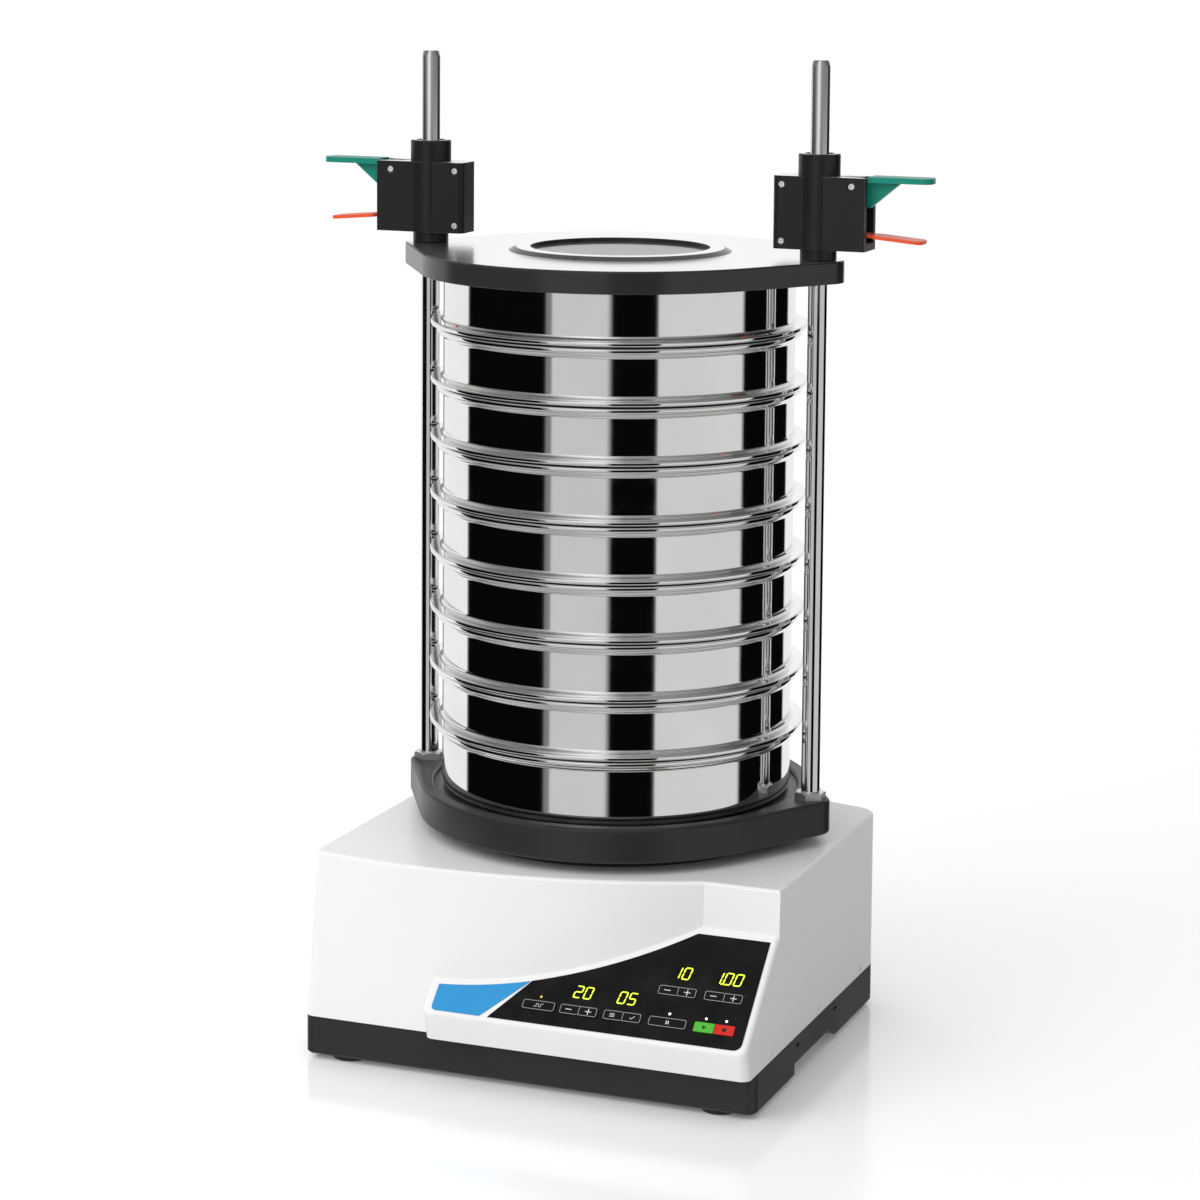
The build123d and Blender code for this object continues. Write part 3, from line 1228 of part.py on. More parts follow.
def make_inlet():
    """Mains inlet module: flange, body, socket with three pins and the switch well."""
    wide, tall = INLET_FLANGE_WIDTH / 2, INLET_FLANGE_HEIGHT / 2
    face_y = INLET_FACE_Y
    module = box(-wide, wide, REAR_Y - INLET_SEAT, face_y, INLET_Z - tall, INLET_Z + tall)
    wide, tall = INLET_WIDTH / 2, INLET_BODY_HEIGHT / 2
    module += box(-wide, wide, face_y - INLET_BODY_DEPTH, face_y, INLET_Z - tall, INLET_Z + tall)
    socket_z = INLET_Z - SOCKET_DROP
    wide, tall = SOCKET_WIDTH / 2, SOCKET_HEIGHT / 2
    back = face_y - SOCKET_DEPTH
    module -= box(-wide, wide, back, face_y + 1, socket_z - tall, socket_z + tall)
    half = INLET_PIN_THICKNESS / 2
    for step, lift in ((-1, INLET_PIN_LIFT), (0, -INLET_PIN_LIFT), (1, INLET_PIN_LIFT)):
        x, z = step * INLET_PIN_PITCH, socket_z + lift
        module += box(x - half, x + half, back - 1, back + INLET_PIN_LENGTH, z - 2 * half, z + 2 * half)
    switch_z = INLET_Z + SWITCH_RISE
    wide, tall = SWITCH_WIDTH / 2 + SWITCH_CLEARANCE, SWITCH_HEIGHT / 2 + SWITCH_CLEARANCE
    return module - box(-wide, wide, face_y - SWITCH_DEPTH, face_y + 1, switch_z - tall, switch_z + tall)


def make_switch():
    """Rocker: a shallow V on a pivot inside the module, one end pressed in."""
    switch_z = INLET_Z + SWITCH_RISE
    half = SWITCH_HEIGHT / 2
    back = INLET_FACE_Y - SWITCH_BODY
    points = [
        (back, switch_z - half + SWITCH_TAPER),
        (INLET_FACE_Y, switch_z - half),
        (INLET_FACE_Y - SWITCH_DIP, switch_z),
        (INLET_FACE_Y + SWITCH_PROUD, switch_z + half),
        (back, switch_z + half - SWITCH_TAPER),
        (back - SWITCH_DIP, switch_z),
    ]
    return side_prism(points, -SWITCH_WIDTH / 2, SWITCH_WIDTH / 2)


save("base_tray", make_tray())
save("rubber_feet", *make_feet())
save("housing_shell", make_housing())
save("housing_screws", *make_housing_screws())
save("keypad_foil", make_foil())
save("label_plate", make_label())
save("control_board", make_board())
save("display_modules", *make_displays())
for key_name, (key_left, key_right, key_row) in KEY_SPANS.items():
    save(key_name, make_key(key_left, key_right, key_row))
save("mains_inlet", make_inlet())
save("mains_switch", make_switch())
save("reaction_mass", make_mass())
save("rubber_buffers", *make_buffers())
save("magnet_core", make_core())
save("magnet_coil", make_coil())
save("armature", make_armature())
save("drive_springs", *make_drive_springs())
save("drive_carrier", make_carrier())
save("rubber_boot", make_boot())
save("sieve_plate", make_plate())
save("support_rods", *make_rods())
save("rod_nuts", *make_nuts())
save("collecting_pan", make_pan())
for number in range(1, SIEVE_COUNT + 1):
    joint = PAN_JOINT_Z + (SIEVE_COUNT - number) * SIEVE_PITCH
    save(f"sieve_{number}", *make_sieve(joint))
save("cover_plate", make_cover())
save("cover_window", make_window())
for label, clamp in (("left", Clamp(-1)), ("right", Clamp(1))):
    save(f"clamp_housing_{label}", *clamp.housing())
    save(f"clamp_bushes_{label}", *clamp.bushes())
    save(f"clamp_fasteners_{label}", *clamp.fasteners())
    save(f"squeeze_lever_{label}", clamp.squeeze_lever())
    save(f"jam_plate_{label}", clamp.jam_plate())
    save(f"jam_spring_{label}", clamp.jam_spring())
    save(f"release_lever_{label}", clamp.release_lever())
    save(f"release_spring_{label}", clamp.release_spring())
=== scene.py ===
import bmesh
import bpy
import json
from math import cos, pi, radians, sin, tan
from mathutils import Matrix, Vector

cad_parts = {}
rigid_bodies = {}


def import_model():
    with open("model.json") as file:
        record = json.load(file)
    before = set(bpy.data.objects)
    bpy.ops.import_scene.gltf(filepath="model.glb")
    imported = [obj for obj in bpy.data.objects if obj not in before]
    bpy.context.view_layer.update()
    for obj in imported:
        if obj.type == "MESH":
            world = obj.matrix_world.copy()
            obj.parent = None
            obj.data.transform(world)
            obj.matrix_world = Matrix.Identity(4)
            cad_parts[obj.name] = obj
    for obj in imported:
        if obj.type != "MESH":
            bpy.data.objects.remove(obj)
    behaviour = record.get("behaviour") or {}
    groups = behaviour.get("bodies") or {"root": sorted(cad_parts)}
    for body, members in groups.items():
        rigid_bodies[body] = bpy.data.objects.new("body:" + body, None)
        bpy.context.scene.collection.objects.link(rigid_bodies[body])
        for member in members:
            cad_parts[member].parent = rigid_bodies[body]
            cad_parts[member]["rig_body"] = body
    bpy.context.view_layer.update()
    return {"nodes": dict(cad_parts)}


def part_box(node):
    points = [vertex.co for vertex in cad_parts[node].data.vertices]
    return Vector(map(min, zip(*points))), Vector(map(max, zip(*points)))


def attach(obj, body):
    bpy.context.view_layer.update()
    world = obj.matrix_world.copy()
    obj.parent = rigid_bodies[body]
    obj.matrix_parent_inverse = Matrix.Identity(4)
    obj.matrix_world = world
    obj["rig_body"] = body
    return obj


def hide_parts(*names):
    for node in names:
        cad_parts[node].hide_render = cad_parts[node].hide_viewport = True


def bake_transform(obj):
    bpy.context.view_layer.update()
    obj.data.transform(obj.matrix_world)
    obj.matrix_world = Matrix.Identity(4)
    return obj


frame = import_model()
nodes = frame["nodes"]
scene = bpy.context.scene
scene.view_settings.view_transform = "Standard"

# Sizes in metres that the frame doesn't give
MM = 0.001
TURN_STEPS = 192

# Sieves and their meshes
SIEVE_COUNT = 8
SIEVE_PITCH = 50.0 * MM
SIEVE_RADIUS = 153.8 * MM
SIEVE_WALL = 1.2 * MM
RIM_RADIUS = 160.0 * MM
RIM_DEPTH = 8.4 * MM
TOP_RIM_DEPTH = 4.4 * MM
FLANGE_RADIUS = 165.0 * MM
JOINT_GAP = 2.2 * MM
SEAL_RADIUS = 155.5 * MM
SEAL_THICKNESS = 2.6 * MM
SKIRT_DEPTH = 8.0 * MM
BEAD_HEIGHT = 4.2 * MM
COVE_HEIGHT = 4.8 * MM
PAN_CORNER = 8.0 * MM
SHEET_ROUNDING = 1.3 * MM
MESH_PITCHES = (9.0, 8.0, 7.2, 6.5, 6.0, 5.5, 5.0, 4.6)
MESH_RADIUS = 150.6 * MM
MESH_LIFT = 3.6 * MM
WIRE_SHARE = 0.06
WIRE_SIDES = 5

# Console, its keys and its lights
CONSOLE_SLOPE = radians(43.0)
CONSOLE_TOP = Vector((0.0, -124.515 * MM, 136.3 * MM))
KEY_TOP = 0.95 * MM
FOIL_TOP = 0.6 * MM
KEY_ROW_LOW = 87.8 * MM
KEY_ROW_HIGH = 58.7 * MM
KEY_HALF_HEIGHT = 4.4 * MM
BORDER_INSET = 0.5 * MM
PRINT_INSET = 1.2 * MM
PRINT_CORNER = 1.6 * MM
PRINT_THICKNESS = 0.04 * MM
PRINT_LINE = 0.42 * MM
LIGHT_THICKNESS = 0.08 * MM
LAMP_ROW = 79.7 * MM
LAMP_RADIUS = 1.05 * MM
LAMP_SIDES = 28
LAMPS = (17.0 * MM, 130.9 * MM, 162.75 * MM, 180.25 * MM)
DIGIT_WIDTH = 5.9 * MM
DIGIT_HEIGHT = 10.6 * MM
DIGIT_PITCH = 8.8 * MM
DIGIT_STROKE = 1.05 * MM
DIGIT_GAP = 0.14 * MM
DIGIT_SLANT = tan(radians(9.0))

# Rods, nuts and fasteners; a screw is head radius, head height, shank radius and whole length
ROD_RADIUS = 8.2 * MM
ROD_TAPER = 5.0 * MM
ROD_TIP_RADIUS = 7.1 * MM
ROD_CHAMFER = 0.5 * MM
NUT_HALF = 12.0 * MM
NUT_CROWN = 0.98 * NUT_HALF
NUT_HEIGHT = 6.0 * MM
NUT_CLEARANCE = 0.1 * MM
HOUSING_SCREW = (3.6 * MM, 1.6 * MM, 1.98 * MM, 9.4 * MM)
SIDE_SCREW_Z = 45.3 * MM
SIDE_SCREW_YS = (-140.0 * MM, -17.0 * MM, 106.0 * MM)
CLAMP_SCREW = (3.1 * MM, 3.0 * MM, 2.0 * MM, 26.0 * MM)
CLAMP_FRONT = 15.0 * MM
PIN_RADIUS = 2.5 * MM
PIN_HALF = 12.5 * MM
PIN_CHAMFER = 0.3 * MM

# Clamp screws and lever pin: distance out from the rod, and from the housing's top or foot
CLAMP_IN = -29.0 * MM
CLAMP_OUT = 33.0 * MM
SCREW_DROP = 7.5 * MM
SCREW_RISE = 6.5 * MM
PIN_DROP = 16.5 * MM

# Soft pieces of the drive
BOOT_RADIUS = 146.0 * MM
BOOT_FOLD = 5.0 * MM
BOOT_WALL = 4.0 * MM
SPRING_COUNT = 6
SPRING_RING = 104.0 * MM
SPRING_RADIUS = 16.0 * MM
SPRING_WAIST = 12.0 * MM
SPRING_END = 4.0 * MM

# Displays: right end of the figures, row of their middle, figures shown
DISPLAYS = (
    (60.5 * MM, 70.8 * MM, "20"),
    (99.5 * MM, 70.8 * MM, "05"),
    (139.5 * MM, 41.4 * MM, "10"),
    (184.5 * MM, 41.4 * MM, "1.00"),
)

# Places taken from the frame
pan_low, pan_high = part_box("collecting_pan")
AXIS_Y = (pan_low.y + pan_high.y) / 2
PAN_BOTTOM = pan_low.z
PAN_JOINT = pan_high.z
PLATE_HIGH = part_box("sieve_plate")[1]
ROD_LOW, ROD_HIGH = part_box("support_rods")
ROD_X = ROD_HIGH.x - ROD_RADIUS
HOUSING_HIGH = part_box("housing_shell")[1]

# Camera, fitted to the rods, rings and housing corners of the photograph
CAMERA_AZIMUTH = radians(21.425)
CAMERA_PITCH = radians(6.223)
CAMERA_ROLL = radians(0.449)
CAMERA_LENS = 102.108
CAMERA_SHIFT = -0.27099
CAMERA_PLACE = Vector((1.062481, -2.726986, 0.986792))


def make_camera():
    """Camera at the photograph's viewing angle."""
    data = bpy.data.cameras.new("studio_camera")
    data.lens = CAMERA_LENS
    data.sensor_width = 36.0
    data.shift_y = CAMERA_SHIFT
    camera = bpy.data.objects.new("studio_camera", data)
    scene.collection.objects.link(camera)
    flat = cos(CAMERA_PITCH)
    back = Vector((sin(CAMERA_AZIMUTH) * flat, -cos(CAMERA_AZIMUTH) * flat, sin(CAMERA_PITCH)))
    right = Vector((cos(CAMERA_AZIMUTH), sin(CAMERA_AZIMUTH), 0.0))
    up = back.cross(right)
    turned_right = right * cos(CAMERA_ROLL) + up * sin(CAMERA_ROLL)
    turned_up = up * cos(CAMERA_ROLL) - right * sin(CAMERA_ROLL)
    rotation = Matrix((turned_right, turned_up, back)).transposed()
    camera.matrix_world = Matrix.Translation(CAMERA_PLACE) @ rotation.to_4x4()
    scene.camera = camera


make_camera()


# Shader helpers


def add(tree, kind, inputs=None, **settings):
    """Add a node with its settings; an input is a value or a socket to link."""
    node = tree.nodes.new(kind)
    for name, value in settings.items():
        setattr(node, name, value)
    for key, value in (inputs or {}).items():
        if isinstance(value, bpy.types.NodeSocket):
            tree.links.new(value, node.inputs[key])
        else:
            node.inputs[key].default_value = value
    return node


def calc(tree, operation, first, second=0.0):
    """Result of one math step."""
    return add(tree, "ShaderNodeMath", {0: first, 1: second}, operation=operation).outputs[0]


def mix(tree, share, first, second):
    """Colour between two colours."""
    node = add(tree, "ShaderNodeMix", {"Factor": share}, data_type="RGBA")
    for index, value in ((6, first), (7, second)):
        if isinstance(value, bpy.types.NodeSocket):
            tree.links.new(value, node.inputs[index])
        else:
            node.inputs[index].default_value = (*value, 1.0)
    return node.outputs[2]


def stretch(tree, value, low, high, to_low=0.0, to_high=1.0):
    """Value moved from one range to another, held at its ends."""
    inputs = {"Value": value, "From Min": low, "From Max": high, "To Min": to_low, "To Max": to_high}
    return add(tree, "ShaderNodeMapRange", inputs).outputs[0]


def new_group(name, inputs, outputs):
    """Empty shader group with float or vector inputs and float outputs."""
    group = bpy.data.node_groups.new(name, "ShaderNodeTree")
    for label, default in inputs.items():
        kind = "NodeSocketVector" if default is None else "NodeSocketFloat"
        socket = group.interface.new_socket(label, in_out="INPUT", socket_type=kind)
        if default is not None:
            socket.default_value = default
    for label in outputs:
        group.interface.new_socket(label, in_out="OUTPUT", socket_type="NodeSocketFloat")
    return group, add(group, "NodeGroupInput").outputs, add(group, "NodeGroupOutput").inputs


def noise(group, given, detail):
    """Noise at the scale that the group is given."""
    inputs = {"Vector": given["Vector"], "Scale": given["Scale"], "Detail": detail}
    return add(group, "ShaderNodeTexNoise", inputs).outputs[0]


def grain_group():
    """Fine moulded or powder-coated grain, as a height."""
    group, given, out = new_group("surface_grain", {"Vector": None, "Scale": 900.0}, ["Height"])
    fine = noise(group, given, 3.0)
    coarse_scale = calc(group, "MULTIPLY", given["Scale"], 0.31)
    coarse = add(group, "ShaderNodeTexVoronoi", {"Vector": given["Vector"], "Scale": coarse_scale})
    joined = calc(group, "MULTIPLY_ADD", coarse.outputs["Distance"], 0.5)
    group.links.new(fine, joined.node.inputs[2])
    group.links.new(joined, out["Height"])
    return group


def cloud_group():
    """Slow change of tone over a surface, from 0 to 1."""
    group, given, out = new_group("slow_clouds", {"Vector": None, "Scale": 9.0}, ["Mask"])
    group.links.new(stretch(group, noise(group, given, 5.0), 0.32, 0.68), out["Mask"])
    return group


def wear_group():
    """Rubbed edges: where the rounded normal leaves the flat one, broken up by noise."""
    sockets = {"Vector": None, "Radius": 0.0012, "Scale": 60.0}
    group, given, out = new_group("edge_wear", sockets, ["Mask"])
    soft = add(group, "ShaderNodeBevel", {"Radius": given["Radius"]}, samples=4)
    flat = add(group, "ShaderNodeNewGeometry")
    inputs = {0: soft.outputs[0], 1: flat.outputs["Normal"]}
    match = add(group, "ShaderNodeVectorMath", inputs, operation="DOT_PRODUCT").outputs["Value"]
    edge = stretch(group, match, 0.995, 0.90)
    patches = stretch(group, noise(group, given, 6.0), 0.40, 0.62)
    group.links.new(calc(group, "MULTIPLY", edge, patches), out["Mask"])
    return group


def dust_group():
    """Thin dust on faces that look up, from 0 to 1."""
    group, given, out = new_group("settled_dust", {"Vector": None, "Scale": 45.0}, ["Mask"])
    normal = add(group, "ShaderNodeNewGeometry").outputs["Normal"]
    up = stretch(group, add(group, "ShaderNodeSeparateXYZ", {0: normal}).outputs["Z"], 0.35, 1.0)
    patches = stretch(group, noise(group, given, 8.0), 0.42, 0.75)
    group.links.new(calc(group, "MULTIPLY", up, patches), out["Mask"])
    return group


def lines_group():
    """Fine lines that run round an upright axis, as on turned or polished metal."""
    group, given, out = new_group("polish_lines", {"Vector": None, "Scale": 1500.0}, ["Height", "Mask"])
    parts = add(group, "ShaderNodeSeparateXYZ", {0: given["Vector"]}).outputs
    across = calc(group, "MULTIPLY", parts["X"], 0.012)
    along = calc(group, "MULTIPLY", parts["Y"], 0.012)
    flat = add(group, "ShaderNodeCombineXYZ", {0: across, 1: along, 2: parts["Z"]}).outputs[0]
    fine = add(group, "ShaderNodeTexNoise", {"Vector": flat, "Scale": given["Scale"], "Detail": 4.0})
    slow_scale = calc(group, "MULTIPLY", given["Scale"], 0.05)
    slow = add(group, "ShaderNodeTexNoise", {"Vector": flat, "Scale": slow_scale, "Detail": 2.0})
    group.links.new(fine.outputs[0], out["Height"])
    group.links.new(stretch(group, slow.outputs[0], 0.3, 0.7), out["Mask"])
    return group


GRAIN = grain_group()
CLOUDS = cloud_group()
WEAR = wear_group()
DUST = dust_group()
LINES = lines_group()


def shared(tree, group, output, **inputs):
    """Output of a shared group, fed with the object's own coordinates."""
    inputs["Vector"] = add(tree, "ShaderNodeTexCoord").outputs["Object"]
    return add(tree, "ShaderNodeGroup", inputs, node_tree=group).outputs[output]


def new_material(name):
    """Material with its node tree and its shader node."""
    material = bpy.data.materials.new(name)
    material.use_nodes = True
    return material, material.node_tree, material.node_tree.nodes["Principled BSDF"]


def bump(tree, shader, height, distance):
    """Relief from a height, in metres."""
    node = add(tree, "ShaderNodeBump", {"Height": height, "Distance": distance})
    tree.links.new(node.outputs[0], shader.inputs["Normal"])


def painted_level_glare(tree, shader, shown, painted_glare_facing):
    """Painted glare: level faces seen near the given range of facing get their colour pushed towards
    white and turn metallic, standing in for reflected light.
    """
    facing = add(tree, "ShaderNodeLayerWeight").outputs["Facing"]
    normal = add(tree, "ShaderNodeNewGeometry").outputs["Normal"]
    upward = stretch(tree, add(tree, "ShaderNodeSeparateXYZ", {0: normal}).outputs["Z"], 0.93, 0.99)
    glare = calc(tree, "MULTIPLY", stretch(tree, facing, *painted_glare_facing), upward)
    tree.links.new(glare, shader.inputs["Metallic"])
    # Painted highlight: the colour turns towards this white where the glare mask is high
    return mix(tree, glare, shown, (0.96, 0.96, 0.96))


def finish(
    name,
    colour,
    roughness,
    metallic=0.0,
    worn=None,
    wear=0.5,
    dust=0.1,
    grain=900.0,
    relief=0.00004,
    tone=0.06,
    coat=0.0,
    specular=0.5,
    painted_glare_facing=None,
):
    """Material with grain, slow clouds, rubbed edges and dust; a facing range, when given, paints glare
    into the colour of its level faces.
    """
    material, tree, shader = new_material(name)
    clouds = shared(tree, CLOUDS, "Mask")
    low = tuple(c * (1 - tone) for c in colour)
    high = tuple(min(c * (1 + tone), 1.0) for c in colour)
    shown = mix(tree, clouds, low, high)
    if worn is not None:
        edges = calc(tree, "MULTIPLY", shared(tree, WEAR, "Mask"), wear)
        shown = mix(tree, edges, shown, worn)
    if dust > 0:
        film = calc(tree, "MULTIPLY", shared(tree, DUST, "Mask"), dust)
        shown = mix(tree, film, shown, (0.62, 0.60, 0.57))
    shader.inputs["Metallic"].default_value = metallic
    # Painted glare on level faces, when a facing range is given
    if painted_glare_facing is not None:
        shown = painted_level_glare(tree, shader, shown, painted_glare_facing)
    tree.links.new(shown, shader.inputs["Base Color"])
    spread = stretch(tree, clouds, 0.0, 1.0, roughness * 0.88, min(roughness * 1.12, 1.0))
    tree.links.new(spread, shader.inputs["Roughness"])
    shader.inputs["Coat Weight"].default_value = coat
    shader.inputs["Specular IOR Level"].default_value = specular
    bump(tree, shader, shared(tree, GRAIN, "Height", Scale=grain), relief)
    return material


def mirror_steel(name, roughness, line_scale, relief, tint=(0.93, 0.93, 0.92)):
    """Polished stainless steel with fine lines round its axis and faint smears."""
    material, tree, shader = new_material(name)
    smears = shared(tree, CLOUDS, "Mask", Scale=14.0)
    lines = shared(tree, LINES, "Mask", Scale=line_scale)
    dull = tuple(c * 0.93 for c in tint)
    tree.links.new(mix(tree, smears, tint, dull), shader.inputs["Base Color"])
    blend = calc(tree, "MULTIPLY", smears, lines)
    tree.links.new(stretch(tree, blend, 0.0, 1.0, roughness, roughness * 1.7), shader.inputs["Roughness"])
    shader.inputs["Metallic"].default_value = 1.0
    bump(tree, shader, shared(tree, LINES, "Height", Scale=line_scale), relief)
    return material


def lit(name, colour, strength):
    """Glowing display segment or lamp, its brightness varied in soft patches."""
    material, tree, shader = new_material(name)
    clouds = shared(tree, CLOUDS, "Mask", Scale=260.0)
    dim = tuple(c * 0.86 for c in colour)
    tree.links.new(mix(tree, clouds, dim, colour), shader.inputs["Emission Color"])
    shader.inputs["Emission Strength"].default_value = strength
    shader.inputs["Base Color"].default_value = (*colour, 1.0)
    shader.inputs["Roughness"].default_value = 0.4
    return material


def window_plastic():
    """Clear cover window with a faint grey tint and fine scratches."""
    material, tree, shader = new_material("clear_window")
    scratches = shared(tree, LINES, "Mask", Scale=900.0)
    shown = mix(tree, scratches, (0.33, 0.34, 0.34), (0.28, 0.29, 0.29))
    tree.links.new(shown, shader.inputs["Base Color"])
    tree.links.new(stretch(tree, scratches, 0.0, 1.0, 0.06, 0.12), shader.inputs["Roughness"])
    shader.inputs["Transmission Weight"].default_value = 0.85
    shader.inputs["IOR"].default_value = 1.18
    return material


def winding():
    """Copper wire wound round the coil, layer over layer."""
    material, tree, shader = new_material("copper_winding")
    coordinates = add(tree, "ShaderNodeTexCoord").outputs["Object"]
    inputs = {"Vector": coordinates, "Scale": 420.0, "Distortion": 0.4}
    turns = add(tree, "ShaderNodeTexWave", inputs, bands_direction="Z").outputs["Fac"]
    tree.links.new(mix(tree, turns, (0.20, 0.07, 0.03), (0.62, 0.26, 0.12)), shader.inputs["Base Color"])
    shader.inputs["Metallic"].default_value = 0.7
    tree.links.new(stretch(tree, turns, 0.0, 1.0, 0.5, 0.3), shader.inputs["Roughness"])
    bump(tree, shader, turns, 0.0003)
    return material


def laminations():
    """Stacked core sheets, seen as fine lines along Y."""
    material, tree, shader = new_material("laminated_core")
    coordinates = add(tree, "ShaderNodeTexCoord").outputs["Object"]
    inputs = {"Vector": coordinates, "Scale": 310.0, "Distortion": 0.1}
    sheets = add(tree, "ShaderNodeTexWave", inputs, bands_direction="Y").outputs["Fac"]
    tree.links.new(mix(tree, sheets, (0.10, 0.10, 0.11), (0.30, 0.30, 0.32)), shader.inputs["Base Color"])
    shader.inputs["Metallic"].default_value = 0.9
    tree.links.new(stretch(tree, sheets, 0.0, 1.0, 0.6, 0.4), shader.inputs["Roughness"])
    bump(tree, shader, sheets, 0.0001)
    return material


def satin_black(name, shade, roughness, relief, painted_glare_facing=None):
    """Black coating or moulding with fine grain, lighter along its rubbed edges; a facing range, when
    given, adds painted glare to its level faces.
    """
    colour = (shade, shade, shade * 1.02)
    edge = (0.16, 0.16, 0.163)
    options = {"worn": edge, "wear": 0.45, "dust": 0.04, "grain": 1300.0, "tone": 0.08, "specular": 0.35}
    return finish(name, colour, roughness, relief=relief, painted_glare_facing=painted_glare_facing, **options)


def lever_plastic(name, colour):
    """Satin coloured plastic with paler rubbed edges."""
    worn = tuple(min(1.0, 0.8 * c + 0.15) for c in colour)
    options = {"worn": worn, "wear": 0.4, "dust": 0.02, "grain": 1500.0, "tone": 0.05, "specular": 0.3}
    return finish(name, colour, 0.34, relief=0.00001, **options)


def printed(name, colour, tone=0.05):
    """Ink or film of the console, with a fine grain."""
    return finish(name, colour, 0.36, dust=0.02, grain=2200.0, relief=0.000006, tone=tone, specular=0.2)


MATERIALS = {
    "white_housing": finish(
        "white_housing",
        (0.86, 0.86, 0.85),
        0.36,
        worn=(0.93, 0.93, 0.92),
        wear=0.35,
        dust=0.04,
        grain=1400.0,
        relief=0.000015,
        tone=0.012,
        coat=0.1,
    ),
    "black_moulding": satin_black("black_moulding", 0.028, 0.46, 0.00003),
    "black_coated_aluminium": satin_black("black_coated_aluminium", 0.022, 0.34, 0.00002),
    "black_rubber": finish(
        "black_rubber",
        (0.022, 0.022, 0.023),
        0.75,
        worn=(0.09, 0.09, 0.09),
        dust=0.16,
        grain=1600.0,
        tone=0.2,
    ),
    # Painted glare: the cover's level top is painted towards white at grazing views, standing in for
    # reflected light
    "cover_lacquer_painted_glare": satin_black("cover_lacquer_painted_glare", 0.026, 0.20, 0.000006, (0.60, 0.78)),
    "black_foil": printed("black_foil", (0.006, 0.006, 0.0065), 0.1),
    "black_key": printed("black_key", (0.007, 0.007, 0.0075), 0.1),
    "display_window": printed("display_window", (0.004, 0.005, 0.004), 0.1),
    "blue_plate": printed("blue_plate", (0.030, 0.300, 0.640), 0.03),
    "green_key": printed("green_key", (0.080, 0.480, 0.040)),
    "red_key": printed("red_key", (0.640, 0.020, 0.018)),
    "key_print": printed("key_print", (0.40, 0.40, 0.39)),
    "key_symbol": printed("key_symbol", (0.80, 0.80, 0.78)),
    "dark_symbol": printed("dark_symbol", (0.02, 0.03, 0.015)),
    "board": finish("board", (0.02, 0.13, 0.05), 0.45, grain=700.0),
    "zinc_steel": finish(
        "zinc_steel", (0.82, 0.82, 0.80), 0.42, metallic=1.0, dust=0.05, grain=1100.0, relief=0.00001
    ),
    "screw_steel": finish(
        "screw_steel", (0.85, 0.85, 0.84), 0.32, metallic=0.35, dust=0.03, grain=1600.0, relief=0.00001
    ),
    "polished_steel": mirror_steel("polished_steel", 0.045, 1500.0, 0.0000012),
    "rod_steel": mirror_steel("rod_steel", 0.07, 900.0, 0.000002, (0.80, 0.80, 0.79)),
    "woven_wire": finish(
        "woven_wire", (0.66, 0.66, 0.64), 0.30, metallic=1.0, dust=0.06, grain=1800.0, relief=0.00001
    ),
    "core_steel": laminations(),
    "copper_coil": winding(),
    "cast_mass": finish(
        "cast_mass", (0.10, 0.10, 0.105), 0.6, worn=(0.3, 0.3, 0.3), grain=420.0, relief=0.0002, tone=0.2
    ),
    "cast_aluminium": finish(
        "cast_aluminium", (0.52, 0.52, 0.53), 0.42, metallic=0.9, grain=500.0, relief=0.0001
    ),
    "clear_window": window_plastic(),
    # Painted glare: level tops of the clamp housings and bushes are painted towards white at grazing
    # views
    "dark_nylon": satin_black("dark_nylon", 0.013, 0.36, 0.00001, (0.80, 0.92)),
    "green_lever": lever_plastic("green_lever", (0.004, 0.235, 0.170)),
    "orange_lever": lever_plastic("orange_lever", (0.80, 0.090, 0.030)),
    "digit_light": lit("digit_light", (0.70, 0.90, 0.04), 1.3),
    "lamp_light": lit("lamp_light", (1.0, 0.98, 0.92), 2.0),
    # Lamp that is off: its faint yellow glow is painted light
    "off_lamp_painted_glow": lit("off_lamp_painted_glow", (0.70, 0.55, 0.08), 0.35),
}


# Mesh helpers


def shade(mesh, angle=35.0):
    """Smooth shading, with a hard edge where faces meet at more than the angle."""
    for polygon in mesh.polygons:
        polygon.use_smooth = True
    mesh.set_sharp_from_angle(angle=radians(angle))


def show(mesh, body, replaced=(), stretched=None):
    """Show a finished mesh as a piece that rides on a body, or as one left in place on no body."""
    piece = bpy.data.objects.new(mesh.name, mesh)
    scene.collection.objects.link(piece)
    if stretched is None:
        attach(piece, body)
    else:
        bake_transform(piece)
    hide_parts(*replaced)


def place(name, bm, body, material, replaced=(), angle=35.0, stretched=None):
    """Turn a finished bmesh into a shown piece."""
    bmesh.ops.recalc_face_normals(bm, faces=bm.faces)
    mesh = bpy.data.meshes.new(name)
    bm.to_mesh(mesh)
    bm.free()
    mesh.materials.append(MATERIALS[material])
    shade(mesh, angle)
    show(mesh, body, replaced, stretched)


def evaluated(holder, name):
    """Mesh that an object's modifiers make; the object itself goes."""
    bpy.context.view_layer.update()
    mesh = bpy.data.meshes.new_from_object(holder.evaluated_get(bpy.context.evaluated_depsgraph_get()))
    bpy.data.objects.remove(holder)
    mesh.name = name
    return mesh


